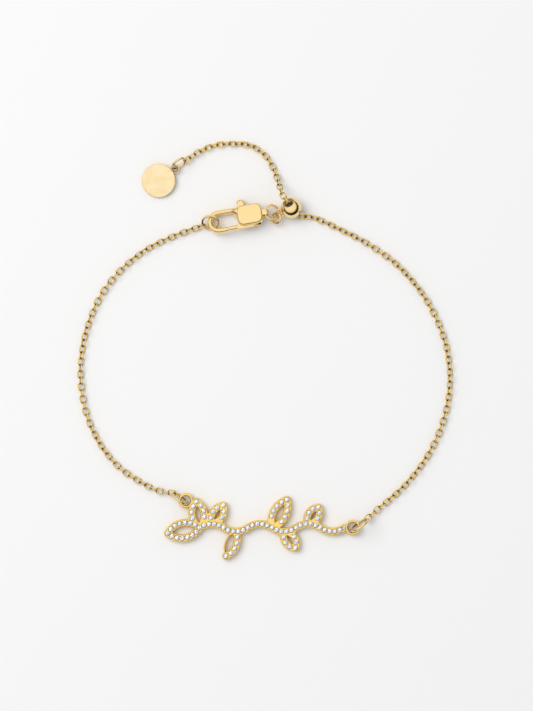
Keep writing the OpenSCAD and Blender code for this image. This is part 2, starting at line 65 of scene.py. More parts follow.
MM = 0.001
BRACELET = "bracelet"
LEVER = "lever"
IMAGE_H = 711


# Colours

def linear(hexa):
    """Linear colour of an sRGB hex value such as #F0C878."""
    parts = [int(hexa[i:i + 2], 16) / 255 for i in (1, 3, 5)]
    return tuple(c / 12.92 if c <= 0.04045 else ((c + 0.055) / 1.055) ** 2.4 for c in parts)


def tint(name, about, hexa):
    """A colour that a user may change, given as an sRGB hex value."""
    return bpy.props.FloatVectorProperty(
        name=name, description=about, subtype="COLOR", size=3, min=0, max=1, default=linear(hexa))


class BraceletColours(bpy.types.PropertyGroup):
    """Colours of the bracelet's finishes."""

    gold: tint("Gold", "Plating of the chain and the plate", "#F7D684")
    gold_warm: tint("Warm gold", "Slightly deeper tone the plating drifts to", "#EDC870")
    pale_gold: tint("Pale gold", "Plating of the clasp, rings and bead", "#F6DCA2")
    pale_deep: tint("Pale drift", "Tone the pale plating drifts to", "#F1D293")
    satin: tint("Satin gold", "Pale satin face of the tag", "#FFEECC")
    satin_deep: tint("Satin drift", "Tone the tag's face drifts to", "#EECF8C")
    # Painted shade: the dark brown that the metals are mixed towards where shade falls, at the chain's
    # joints, round the stones and inside the eyes.
    recess: tint("Recess", "Dark brown where polish doesn't reach", "#160C03")
    crystal: tint("Stone", "Clear stone", "#FDFDFD")
    foil: tint("Foil", "Silver mirror behind the stones", "#E1E2E6")
    silicone: tint("Liner", "Soft liner of the slider bead", "#9A8F7C")
    paper: tint("Floor", "Pale floor", "#F6F6F6")


def millimetres(name, about, default, low, high):
    """A size in millimetres that a user may change."""
    return bpy.props.FloatProperty(
        name=name, description=about, default=default, min=low, max=high, unit="NONE")


class BraceletSizes(bpy.types.PropertyGroup):
    """Sizes of the polished detail, in millimetres."""

    grid: millimetres("Plate grid", "Spacing of the plate's surface points", 0.05, 0.035, 0.1)
    edge: millimetres("Plate edge", "Rounding of the plate's upper edge", 0.2, 0.04, 0.25)
    rim: millimetres("Plate rim", "Width of the bright rim beside the stones", 0.2, 0.1, 0.3)
    channel: millimetres("Channel", "Depth of the cut that the stones sit in", 0.05, 0.0, 0.2)
    link_wire: millimetres("Link wire", "Thickness of the links' polished wire", 0.24, 0.22, 0.3)
    link_draw: millimetres("Link draw", "How far each link's ends are drawn in", 0.085, 0.0, 0.1)
    prong: millimetres("Prong", "Radius of the beads that hold the stones", 0.1, 0.06, 0.16)
    ring_cut: millimetres("Ring cut", "Gap where a jump ring closes", 0.03, 0.01, 0.08)
    cheek_dome: millimetres("Cheek dome", "Rise of the clasp's domed cheeks", 0.05, 0.0, 0.1)
    tag_edge: millimetres("Tag edge", "Rounding of the tag's rim", 0.1, 0.03, 0.2)
    wire_sides: bpy.props.IntProperty(
        name="Wire sides", description="Sides of a chain link's wire", default=8, min=6, max=12)
    bow_steps: bpy.props.IntProperty(
        name="Link steps", description="Steps round a chain link", default=18, min=14, max=26)


# Materials

RELIEF_MM = 0.01


def add_node(tree, kind, settings=None, inputs=None, links=None):
    """Adds a node; settings are its properties, inputs its socket values, links feed its inputs by name."""
    node = tree.nodes.new(kind)
    for key, value in (settings or {}).items():
        setattr(node, key, value)
    for key, value in (inputs or {}).items():
        node.inputs[key].default_value = value
    for key, socket in (links or {}).items():
        tree.links.new(socket, node.inputs[key])
    return node


def new_material(name):
    """An empty node material and its output node."""
    material = bpy.data.materials.new(name)
    material.use_nodes = True
    material.node_tree.nodes.clear()
    return material, add_node(material.node_tree, "ShaderNodeOutputMaterial")


def opaque(colour):
    return (*colour, 1.0)


def pattern(tree, size_mm, detail, roughness=0.5):
    """A soft random pattern on the piece's own coordinates, with patches of a real size."""
    coords = add_node(tree, "ShaderNodeTexCoord")
    noise = add_node(
        tree, "ShaderNodeTexNoise",
        inputs={"Scale": 1 / (size_mm * MM), "Detail": detail, "Roughness": roughness},
        links={"Vector": coords.outputs["Object"]})
    return noise.outputs["Fac"]


def metal(name, bright, deep, roughness, drift_mm, grain_mm, grain, recess=None):
    """A plated metal: its tone drifts softly, and fine wheel marks break its highlights; where a shade colour
    is given, painted shade darkens it by the mesh's shade attribute.
    """
    material, out = new_material(name)
    tree = material.node_tree
    marks = pattern(tree, grain_mm, detail=3.0, roughness=0.6)
    tone = add_node(
        tree, "ShaderNodeMix", {"data_type": "RGBA"},
        {"A": opaque(bright), "B": opaque(deep)}, {"Factor": pattern(tree, drift_mm, detail=2.0)})
    colour = tone.outputs["Result"]
    # Painted shade: mixes the colour towards dark brown where the mesh's shade attribute is 1.
    if recess is not None:
        depth = add_node(tree, "ShaderNodeAttribute", {"attribute_name": "recess"})
        shade = add_node(
            tree, "ShaderNodeMix", {"data_type": "RGBA"}, {"B": opaque(recess)},
            {"Factor": depth.outputs["Fac"], "A": colour})
        colour = shade.outputs["Result"]
    rough = add_node(
        tree, "ShaderNodeMapRange",
        inputs={"From Min": 0.3, "From Max": 0.7, "To Min": roughness * 0.8, "To Max": roughness * 1.25},
        links={"Value": marks})
    relief = add_node(
        tree, "ShaderNodeBump", inputs={"Strength": grain, "Distance": RELIEF_MM * MM},
        links={"Height": marks})
    shader = add_node(
        tree, "ShaderNodeBsdfPrincipled", inputs={"Metallic": 1.0},
        links={"Base Color": colour, "Roughness": rough.outputs["Result"],
               "Normal": relief.outputs["Normal"]})
    tree.links.new(shader.outputs["BSDF"], out.inputs["Surface"])
    return material


def clear_stone(colour):
    """Cubic zirconia, cut and polished: clear, hard glints on its facet edges."""
    material, out = new_material("cut cubic zirconia")
    tree = material.node_tree
    rough = add_node(
        tree, "ShaderNodeMapRange", inputs={"To Min": 0.0, "To Max": 0.04},
        links={"Value": pattern(tree, size_mm=0.6, detail=1.0)})
    shader = add_node(
        tree, "ShaderNodeBsdfPrincipled",
        inputs={"Base Color": opaque(colour), "IOR": 2.1, "Transmission Weight": 1.0},
        links={"Roughness": rough.outputs["Result"]})
    tree.links.new(shader.outputs["BSDF"], out.inputs["Surface"])
    return material


def soft_liner(colour):
    """Moulded silicone: matte, a little see-through, with a faint moulding texture."""
    material, out = new_material("moulded silicone")
    tree = material.node_tree
    relief = add_node(
        tree, "ShaderNodeBump", inputs={"Strength": 0.2, "Distance": RELIEF_MM * MM},
        links={"Height": pattern(tree, size_mm=0.12, detail=2.0)})
    shader = add_node(
        tree, "ShaderNodeBsdfPrincipled",
        inputs={"Base Color": opaque(colour), "Roughness": 0.45, "IOR": 1.41, "Subsurface Weight": 0.2,
                "Subsurface Scale": 0.3 * MM},
        links={"Normal": relief.outputs["Normal"]})
    tree.links.new(shader.outputs["BSDF"], out.inputs["Surface"])
    return material


def paper_floor(colour):
    """Matte studio paper: almost white, without a visible grain from above."""
    material, out = new_material("matte studio paper")
    tree = material.node_tree
    rough = add_node(
        tree, "ShaderNodeMapRange", inputs={"To Min": 0.85, "To Max": 0.95},
        links={"Value": pattern(tree, size_mm=1.5, detail=3.0)})
    shader = add_node(
        tree, "ShaderNodeBsdfPrincipled", inputs={"Base Color": opaque(colour), "Specular IOR Level": 0.2},
        links={"Roughness": rough.outputs["Result"]})
    tree.links.new(shader.outputs["BSDF"], out.inputs["Surface"])
    return material


FINISHES = {}


def finish(name):
    """The named finish, made once from the scene's colours."""
    if name not in FINISHES:
        c = bpy.context.scene.bracelet_colours
        makers = {
            "polished": lambda: metal(
                "polished gold plating", c.pale_gold, c.pale_deep,
                roughness=0.12, drift_mm=9.0, grain_mm=0.35, grain=0.06, recess=c.recess),
            "tumbled": lambda: metal(
                "tumbled gold wire", c.gold, c.gold_warm,
                roughness=0.16, drift_mm=6.0, grain_mm=0.3, grain=0.08, recess=c.recess),
            "cast": lambda: metal(
                "cast gold-plated plate", c.gold, c.gold_warm,
                roughness=0.17, drift_mm=5.0, grain_mm=0.25, grain=0.1, recess=c.recess),
            "satin": lambda: metal(
                "satin gold plating", c.satin, c.satin_deep,
                roughness=0.36, drift_mm=1.6, grain_mm=0.3, grain=0.6),
            "foil": lambda: metal(
                "silver foil", c.foil, c.foil, roughness=0.08, drift_mm=2.0, grain_mm=0.2, grain=0.05),
            "stone": lambda: clear_stone(c.crystal),
            "liner": lambda: soft_liner(c.silicone),
            "paper": lambda: paper_floor(c.paper),
        }
        FINISHES[name] = makers[name]()
    return FINISHES[name]


# Meshes: all helpers work in millimetres

WELD = 1e-7


def in_scene(name, data):
    """A new object that shows the data."""
    obj = bpy.data.objects.new(name, data)
    bpy.context.scene.collection.objects.link(obj)
    return obj


def welded(mesh):
    """A bmesh copy of a mesh, its doubled points merged."""
    bm = bmesh.new()
    bm.from_mesh(mesh)
    bmesh.ops.remove_doubles(bm, verts=bm.verts, dist=WELD)
    bm.verts.index_update()
    return bm


def new_piece(name, verts, faces, material, sharp=40, attributes=None):
    """A smooth mesh object at the origin; edges steeper than sharp degrees stay crisp."""
    mesh = bpy.data.meshes.new(name)
    mesh.from_pydata((np.asarray(verts, float) * MM).tolist(), [], [list(map(int, f)) for f in faces])
    mesh.validate()
    for key, values in (attributes or {}).items():
        mesh.attributes.new(key, "FLOAT", "POINT").data.foreach_set("value", np.asarray(values, np.float32))
    mesh.polygons.foreach_set("use_smooth", [True] * len(mesh.polygons))
    mesh.set_sharp_from_angle(angle=math.radians(sharp))
    mesh.materials.append(material)
    return in_scene(name, mesh)


def settle(obj, body, slot, *nodes):
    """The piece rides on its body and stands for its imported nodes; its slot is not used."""
    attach(obj, body)
    if nodes:
        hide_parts(*nodes)


def joined(*shells):
    """Vertices and faces of several shells as one list each."""
    verts, faces, start = [], [], 0
    for v, f in shells:
        verts.append(np.asarray(v, float))
        faces += [[i + start for i in face] for face in f]
        start += len(v)
    return np.vstack(verts), faces


def moved(shell, turn, at):
    """A shell turned by a 3 by 3 matrix and moved."""
    v, f = shell
    return np.asarray(v, float) @ np.asarray(turn, float).T + np.asarray(at, float), f


def grid_faces(rows, columns, closed=False):
    """Faces of a sheet of points whose columns close on themselves; open rows end in a flat cap each."""
    faces = []
    for i in range(rows if closed else rows - 1):
        j = (i + 1) % rows
        for k in range(columns):
            m = (k + 1) % columns
            faces.append((i * columns + k, i * columns + m, j * columns + m, j * columns + k))
    if not closed:
        faces.append(tuple(range(columns))[::-1])
        faces.append(tuple(range((rows - 1) * columns, rows * columns)))
    return faces


def outward(verts, faces):
    """Turns the faces of a closed shell round if its volume comes out negative."""
    v = np.asarray(verts, float)
    total = 0.0
    for f in faces:
        for a, b in zip(f[1:-1], f[2:]):
            total += np.dot(v[f[0]], np.cross(v[a], v[b]))
    return [tuple(reversed(f)) for f in faces] if total < 0 else faces


def tube(path, up, sections, closed=False):
    """Sweeps sections, each an (m, 2) array across the path and along up, over a flat path."""
    path = np.asarray(path, float)
    up = np.asarray(up, float)
    ahead = np.roll(path, -1, 0) - np.roll(path, 1, 0)
    if not closed:
        ahead[0] = path[1] - path[0]
        ahead[-1] = path[-1] - path[-2]
    ahead /= np.linalg.norm(ahead, axis=1)[:, None]
    side = np.cross(up, ahead)
    side /= np.linalg.norm(side, axis=1)[:, None]
    rows = [p + s[:, :1] * a + s[:, 1:] * up for p, a, s in zip(path, side, sections)]
    verts = np.vstack(rows)
    return verts, outward(verts, grid_faces(len(path), len(sections[0]), closed))


def oval(half_w, half_h, power, count):
    """A rounded-box section: power 2 is an ellipse, more is squarer."""
    a = np.linspace(0, 2 * np.pi, count, endpoint=False) + np.pi / count
    c, s = np.cos(a), np.sin(a)
    return np.stack([half_w * np.sign(c) * np.abs(c) ** (2 / power),
                     half_h * np.sign(s) * np.abs(s) ** (2 / power)], 1)


def lathe(profile, count):
    """Turns a closed (radius, height) profile about Z; points at radius 0 become poles."""
    profile = [tuple(p) for p in profile]
    verts, rings = [], []
    for r, z in profile:
        if r < 1e-9:
            rings.append([len(verts)] * count)
            verts.append((0, 0, z))
        else:
            start = len(verts)
            rings.append(list(range(start, start + count)))
            for k in range(count):
                a = 2 * math.pi * k / count
                verts.append((r * math.cos(a), r * math.sin(a), z))
    faces = []
    whole = profile[0][0] > 1e-9
    for i in range(len(rings) if whole else len(rings) - 1):
        a, b = rings[i], rings[(i + 1) % len(rings)]
        for k in range(count):
            m = (k + 1) % count
            face = [a[k], a[m], b[m], b[k]]
            face = [f for n, f in enumerate(face) if f not in face[:n]]
            if len(face) > 2:
                faces.append(tuple(face))
    return np.array(verts), outward(verts, faces)


def arc(cx, cy, r, a0, a1, steps):
    """Points of an arc, angles in degrees."""
    a = np.radians(np.linspace(a0, a1, steps + 1))
    return [(cx + r * math.cos(t), cy + r * math.sin(t)) for t in a]


def rounded_ring(inner, outer, low, high, r, steps):
    """The (radius, height) profile of a flat ring with its four edges rounded."""
    return (arc(outer - r, low + r, r, -90, 0, steps) + arc(outer - r, high - r, r, 0, 90, steps)
            + arc(inner + r, high - r, r, 90, 180, steps) + arc(inner + r, low + r, r, 180, 270, steps))


def axis_turn(axis):
    """A matrix that turns +Z onto a direction."""
    return np.array(Vector(axis).to_track_quat("Z", "Y").to_matrix())


def rotation(degrees):
    """The matrix of turns about X, then Y, then Z."""
    return np.array(Euler([math.radians(d) for d in degrees], "XYZ").to_matrix())


def apply_modifiers(obj):
    """The evaluated mesh of an object becomes its own plain mesh."""
    depsgraph = bpy.context.evaluated_depsgraph_get()
    mesh = bpy.data.meshes.new_from_object(obj.evaluated_get(depsgraph))
    obj.modifiers.clear()
    old = obj.data
    obj.data = mesh
    bpy.data.meshes.remove(old)
    return obj


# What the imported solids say: places, directions and sizes

def loose_solids(node):
    """Vertices and triangles, in millimetres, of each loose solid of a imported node."""
    bm = welded(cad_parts[node].data)
    seen, solids = set(), []
    for seed in bm.verts:
        if seed.index in seen:
            continue
        seen.add(seed.index)
        queue, members = [seed], []
        while queue:
            vert = queue.pop()
            members.append(vert)
            for edge in vert.link_edges:
                other = edge.other_vert(vert)
                if other.index not in seen:
                    seen.add(other.index)
                    queue.append(other)
        place = {v.index: i for i, v in enumerate(members)}
        tris = [[place[v.index] for v in f.verts] for f in {f for v in members for f in v.link_faces}]
        solids.append((np.array([v.co[:] for v in members]) / MM, np.array(sorted(tris))))
    bm.free()
    return solids


def lie_of(points, tris):
    """Centre, axes from longest to thinnest, and half sizes of a solid, from its surface's spread."""
    corners = points[tris]
    area = np.linalg.norm(np.cross(corners[:, 1] - corners[:, 0], corners[:, 2] - corners[:, 0]), axis=1) / 2
    middle = (corners.mean(1) * area[:, None]).sum(0) / area.sum()
    c = corners - middle
    total = c.sum(1)
    spread = (np.einsum("t,tki,tkj->ij", area, c, c) + np.einsum("t,ti,tj->ij", area, total, total)) / 12
    axes = np.linalg.eigh(spread)[1][:, ::-1].T
    if np.linalg.det(axes) < 0:
        axes[2] = -axes[2]
    reach = (points - middle) @ axes.T
    half = (reach.max(0) - reach.min(0)) / 2
    return middle + (reach.max(0) + reach.min(0)) / 2 @ axes, axes, half


# Geometry Nodes

def new_tree(name, sockets):
    """A geometry tree with named inputs and their types."""
    tree = bpy.data.node_groups.new(name, "GeometryNodeTree")
    for label, kind in {"Geometry": "Geometry", **sockets}.items():
        tree.interface.new_socket(label, in_out="INPUT", socket_type="NodeSocket" + kind)
    tree.interface.new_socket("Geometry", in_out="OUTPUT", socket_type="NodeSocketGeometry")
    return tree, add_node(tree, "NodeGroupInput"), add_node(tree, "NodeGroupOutput")


def grow(obj, tree, values):
    """Runs a tree on an object with its inputs set, and keeps the result as the object's plain mesh."""
    modifier = obj.modifiers.new(tree.name, "NODES")
    modifier.node_group = tree
    for item in tree.interface.items_tree:
        if item.item_type == "SOCKET" and item.in_out == "INPUT" and item.name in values:
            modifier[item.identifier] = values[item.name]
    return apply_modifiers(obj)


def seeds(name, places, turns):
    """An object of bare points, each with the turn of what grows on it."""
    mesh = bpy.data.meshes.new(name)
    mesh.from_pydata((np.asarray(places) * MM).tolist(), [], [])
    data = mesh.attributes.new("turn", "FLOAT_VECTOR", "POINT").data
    data.foreach_set("vector", np.asarray(turns, np.float32).ravel())
    return in_scene(name, mesh)


def planted(tree, given, shape):
    """Sets a shape on each seed point with its turn, made real and in its finish."""
    turn = add_node(tree, "GeometryNodeInputNamedAttribute", {"data_type": "FLOAT_VECTOR"}, {"Name": "turn"})
    spin = add_node(tree, "FunctionNodeEulerToRotation", links={"Euler": turn.outputs["Attribute"]})
    placed = add_node(
        tree, "GeometryNodeInstanceOnPoints",
        links={"Points": given.outputs["Geometry"], "Instance": shape, "Rotation": spin.outputs["Rotation"]})
    real = add_node(tree, "GeometryNodeRealizeInstances", links={"Geometry": placed.outputs["Instances"]})
    done = add_node(
        tree, "GeometryNodeSetMaterial",
        links={"Geometry": real.outputs["Geometry"], "Material": given.outputs["Finish"]})
    return done.outputs["Geometry"]


def link_tree():
    """A chain link on each point: a circle of wire pulled apart into an oval."""
    tree, given, out = new_tree("chain links", {
        "Bow radius": "Float", "Straight": "Float", "Wire radius": "Float", "Steps": "Int", "Sides": "Int",
        "Finish": "Material"})
    loop = add_node(
        tree, "GeometryNodeCurvePrimitiveCircle",
        links={"Resolution": given.outputs["Steps"], "Radius": given.outputs["Bow radius"]})
    where = add_node(tree, "GeometryNodeInputPosition")
    split = add_node(tree, "ShaderNodeSeparateXYZ", links={"Vector": where.outputs["Position"]})
    sign = add_node(tree, "ShaderNodeMath", {"operation": "SIGN"}, links={0: split.outputs["X"]})
    half = add_node(
        tree, "ShaderNodeMath", {"operation": "MULTIPLY"}, {1: 0.5}, {0: given.outputs["Straight"]})
    pull = add_node(
        tree, "ShaderNodeMath", {"operation": "MULTIPLY"}, links={0: sign.outputs[0], 1: half.outputs[0]})
    shift = add_node(tree, "ShaderNodeCombineXYZ", links={"X": pull.outputs[0]})
    oval_loop = add_node(
        tree, "GeometryNodeSetPosition",
        links={"Geometry": loop.outputs["Curve"], "Offset": shift.outputs["Vector"]})
    section = add_node(
        tree, "GeometryNodeCurvePrimitiveCircle",
        links={"Resolution": given.outputs["Sides"], "Radius": given.outputs["Wire radius"]})
    wire = add_node(
        tree, "GeometryNodeCurveToMesh",
        links={"Curve": oval_loop.outputs["Geometry"], "Profile Curve": section.outputs["Curve"]})
    smooth = add_node(tree, "GeometryNodeSetShadeSmooth", links={"Geometry": wire.outputs["Mesh"]})
    # Stores the painted shade at the joints, for the metal to darken by.
    marked = add_node(
        tree, "GeometryNodeStoreNamedAttribute", {"data_type": "FLOAT", "domain": "POINT"},
        {"Name": "recess"}, {"Geometry": smooth.outputs["Geometry"], "Value": inner_bow_shade(tree, given, half)})
    tree.links.new(planted(tree, given, marked.outputs["Geometry"]), out.inputs["Geometry"])
    return tree


def inner_bow_shade(tree, given, half):
    """Painted shade: 1 on the inner side of a link's two bows, where its neighbours pass and shade falls,
    else 0.
    """
    where = add_node(tree, "GeometryNodeInputPosition")
    split = add_node(tree, "ShaderNodeSeparateXYZ", links={"Vector": where.outputs["Position"]})
    side = add_node(tree, "ShaderNodeMath", {"operation": "ABSOLUTE"}, links={0: split.outputs["X"]})
    past = add_node(
        tree, "ShaderNodeMath", {"operation": "SUBTRACT"}, links={0: side.outputs[0], 1: half.outputs[0]})
    spot = add_node(tree, "ShaderNodeCombineXYZ", links={"X": past.outputs[0], "Y": split.outputs["Y"]})
    away = add_node(tree, "ShaderNodeVectorMath", {"operation": "LENGTH"}, links={0: spot.outputs["Vector"]})
    share = add_node(
        tree, "ShaderNodeMath", {"operation": "DIVIDE"},
        links={0: past.outputs[0], 1: given.outputs["Bow radius"]})
    end = add_node(
        tree, "ShaderNodeMapRange", {"interpolation_type": "SMOOTHSTEP"},
        {"From Min": 0.25, "From Max": 0.65}, {"Value": share.outputs[0]})
    depth = add_node(
        tree, "ShaderNodeMath", {"operation": "SUBTRACT"},
        links={0: given.outputs["Bow radius"], 1: away.outputs["Value"]})
    ratio = add_node(
        tree, "ShaderNodeMath", {"operation": "DIVIDE"},
        links={0: depth.outputs[0], 1: given.outputs["Wire radius"]})
    inside = add_node(
        tree, "ShaderNodeMapRange", {"interpolation_type": "SMOOTHSTEP"},
        {"From Min": -0.4, "From Max": 0.25}, {"Value": ratio.outputs[0]})
    both = add_node(
        tree, "ShaderNodeMath", {"operation": "MULTIPLY"},
        links={0: end.outputs["Result"], 1: inside.outputs["Result"]})
    return both.outputs[0]


def bead_tree():
    """A small metal bead on each point, for the prongs between the stones."""
    tree, given, out = new_tree("prong beads", {"Radius": "Float", "Finish": "Material"})
    ball = add_node(
        tree, "GeometryNodeMeshUVSphere", inputs={"Segments": 8, "Rings": 5},
        links={"Radius": given.outputs["Radius"]})
    smooth = add_node(tree, "GeometryNodeSetShadeSmooth", links={"Geometry": ball.outputs["Mesh"]})
    tree.links.new(planted(tree, given, smooth.outputs["Geometry"]), out.inputs["Geometry"])
    return tree


def stone_tree():
    """A cut stone on each point; its faces marked foil take the mirror behind it."""
    tree, given, out = new_tree(
        "round cut stones", {"Stone": "Object", "Finish": "Material", "Foil": "Material"})
    model = add_node(tree, "GeometryNodeObjectInfo", links={"Object": given.outputs["Stone"]})
    mark = add_node(tree, "GeometryNodeInputNamedAttribute", {"data_type": "BOOLEAN"}, {"Name": "foil"})
    done = add_node(
        tree, "GeometryNodeSetMaterial",
        links={"Geometry": planted(tree, given, model.outputs["Geometry"]),
               "Selection": mark.outputs["Attribute"], "Material": given.outputs["Foil"]})
    tree.links.new(done.outputs["Geometry"], out.inputs["Geometry"])
    return tree


# Chains

CHAINS = ("left_chain", "right_chain", "tail_chain")


class BRACELET_OT_chains(bpy.types.Operator):
    """Oval cable links in the three runs of chain."""

    bl_idname = "bracelet.chains"
    bl_label = "Chains"

    def execute(self, context):
        sizes = context.scene.bracelet_sizes
        tree = link_tree()
        for node in CHAINS:
            lies = [lie_of(*solid) for solid in loose_solids(node)]
            lies.sort(key=lambda lie: tuple(lie[0].round(3)))
            half = np.median([lie[2] for lie in lies], axis=0)
            wire = sizes.link_wire / 2
            bow = half[1] - wire
            straight = half[0] - sizes.link_draw - wire - bow
            turns = [Matrix(lie[1].T.tolist()).to_euler("XYZ")[:] for lie in lies]
            obj = grow(seeds(node + "_links", [lie[0] for lie in lies], turns), tree, {
                "Bow radius": bow * MM, "Straight": 2 * straight * MM, "Wire radius": wire * MM,
                "Steps": sizes.bow_steps, "Sides": sizes.wire_sides, "Finish": finish("tumbled")})
            settle(obj, BRACELET, "gold", node)
        return {"FINISHED"}


# Jump rings

RINGS = ("left_plate_ring", "right_plate_ring", "clasp_ring", "clasp_tail_ring", "link_ring", "tag_ring")
RING_STEPS = 64
RING_SIDES = 16


class BRACELET_OT_rings(bpy.types.Operator):
    """Jump rings of round wire, each with the fine cut where it closes."""

    bl_idname = "bracelet.rings"
    bl_label = "Jump rings"

    def execute(self, context):
        cut = context.scene.bracelet_sizes.ring_cut
        for node in RINGS:
            centre, axes, half = lie_of(*loose_solids(node)[0])
            wire = half[2]
            radius = (half[0] + half[1]) / 2 - wire
            normal = axes[2] * (1 if axes[2][2] > 0 else -1)
            first = np.cross(normal, (0, 0, 1))
            first /= np.linalg.norm(first)
            second = np.cross(normal, first)
            gap = cut / radius / 2
            angles = np.linspace(gap, 2 * np.pi - gap, RING_STEPS)
            path = [centre + radius * (math.cos(a) * first + math.sin(a) * second) for a in angles]
            section = oval(wire, wire, 2, RING_SIDES)
            verts, faces = tube(path, normal, [section] * len(path))
            settle(new_piece(node + "_wire", verts, faces, finish("polished")), BRACELET, "gold", node)
        return {"FINISHED"}


# Plate

PLATE_TOP = 1.2
PLATE_AT = np.array([-2.23, -30.13, 0.0])
EYE_PLACES = ((-11.24, 4.62), (17.12, 0.03))
EYE_HOLES = (0.8, 0.85)
EYE_RIM = 0.48
EYE_HEIGHT = 0.62
EYE_ROUND = 0.2
# Where the painted shade on an eye's hole wall fades out, measured from the hole.
EYE_WALL_SHADE = (0.02, 0.14)
EYE_STEPS = 56
SEAT_BEVEL = 0.06
SEAT_DROP = 0.03
SEAT_DEPTH = 0.36
# How far past a seat's bevel the painted shade round a stone fades out.
SEAT_SHADE_LINE = 0.02
GIRDLE_BAND = 0.02
RIM_SLOPE = 0.1
CHANNEL_END = (0.8, 0.95)
CHANNEL_GAP = (0.16, 0.3)


def underside_edges():
    """Border of the plate's flat underside, as two arrays of edge ends."""
    bm = welded(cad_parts["plate"].data)
    low = min(v.co.z for v in bm.verts) + 1e-6
    flat = {f for f in bm.faces if all(v.co.z < low for v in f.verts)}
    border = [e for e in bm.edges if sum(f in flat for f in e.link_faces) == 1]
    a = np.array([e.verts[0].co[:2] for e in border]) / MM
    b = np.array([e.verts[1].co[:2] for e in border]) / MM
    bm.free()
    return a, b


def to_outline(points, a, b):
    """Distance of each point to the outline, positive inside, and its nearest outline point."""
    distance = np.zeros(len(points))
    nearest = np.zeros((len(points), 2))
    along = b - a
    length = np.maximum((along ** 2).sum(1), 1e-12)
    rise = np.where(np.abs(along[:, 1]) < 1e-12, 1e-12, along[:, 1])
    for start in range(0, len(points), 4000):
        p = points[start:start + 4000]
        t = np.clip(((p[:, None] - a) * along).sum(2) / length, 0, 1)
        foot = a + t[..., None] * along
        gap = ((p[:, None] - foot) ** 2).sum(2)
        best = gap.argmin(1)
        rows = np.arange(len(p))
        crosses = ((a[:, 1] > p[:, None, 1]) != (b[:, 1] > p[:, None, 1])) & (
            p[:, None, 0] < a[:, 0] + along[:, 0] * (p[:, None, 1] - a[:, 1]) / rise)
        inside = crosses.sum(1) % 2 == 1
        distance[start:start + 4000] = np.sqrt(gap[rows, best]) * np.where(inside, 1, -1)
        nearest[start:start + 4000] = foot[rows, best]
    return distance, nearest


def stone_places():
    """Centre and girdle radius of each stone, in order along X."""
    found = []
    for points, _ in loose_solids("stones"):
        low, high = points.min(0), points.max(0)
        girdle = points[np.abs(np.linalg.norm(points[:, :2] - (low + high)[:2] / 2, axis=1)
                               - (high - low)[0] / 2) < GIRDLE_BAND]
        found.append(((low + high)[:2] / 2, (high - low)[0] / 2, girdle[:, 2].mean()))
    found.sort(key=lambda s: (round(s[0][0], 3), round(s[0][1], 3)))
    return found


def ease(low, high, x):
    """0 below low, 1 above high, smooth between."""
    t = np.clip((x - low) / (high - low), 0, 1)
    return t * t * (3 - 2 * t)


def plate_relief(points, distance, stones, sizes):
    """Height of the plate's face with its edge, rim, channel and seats, and the painted shade: 1 on the line
    round a stone.
    """
    centres = np.array([s[0] for s in stones])
    radius = stones[0][1]
    girdle = stones[0][2]
    away = np.full(len(points), 9.0)
    for start in range(0, len(points), 8000):
        p = points[start:start + 8000]
        away[start:start + 8000] = np.sqrt(((p[:, None] - centres) ** 2).sum(2)).min(1)
    edge = np.clip(distance, 0, sizes.edge)
    height = PLATE_TOP - sizes.edge + np.sqrt(np.maximum(sizes.edge ** 2 - (sizes.edge - edge) ** 2, 0))
    cut = ease(0, RIM_SLOPE, distance - sizes.rim) * (1 - ease(*CHANNEL_END, distance))
    cut *= 1 - ease(*CHANNEL_GAP, away - radius)
    height = height - sizes.channel * cut
    mouth = radius + SEAT_BEVEL
    seat = girdle - SEAT_DROP
    cone = seat - SEAT_DEPTH * (1 - np.clip(away / radius, 0, 1))
    bevel = seat + (PLATE_TOP - seat) * np.clip((away - radius) / SEAT_BEVEL, 0, 1)
    height = np.where(away < mouth, np.minimum(height, bevel), height)
    # Painted shade: a dark line round each stone, where shade falls into its seat.
    line = 1 - ease(radius, mouth + SEAT_SHADE_LINE, away)
    return np.where(away < radius, np.minimum(height, cone), height), line


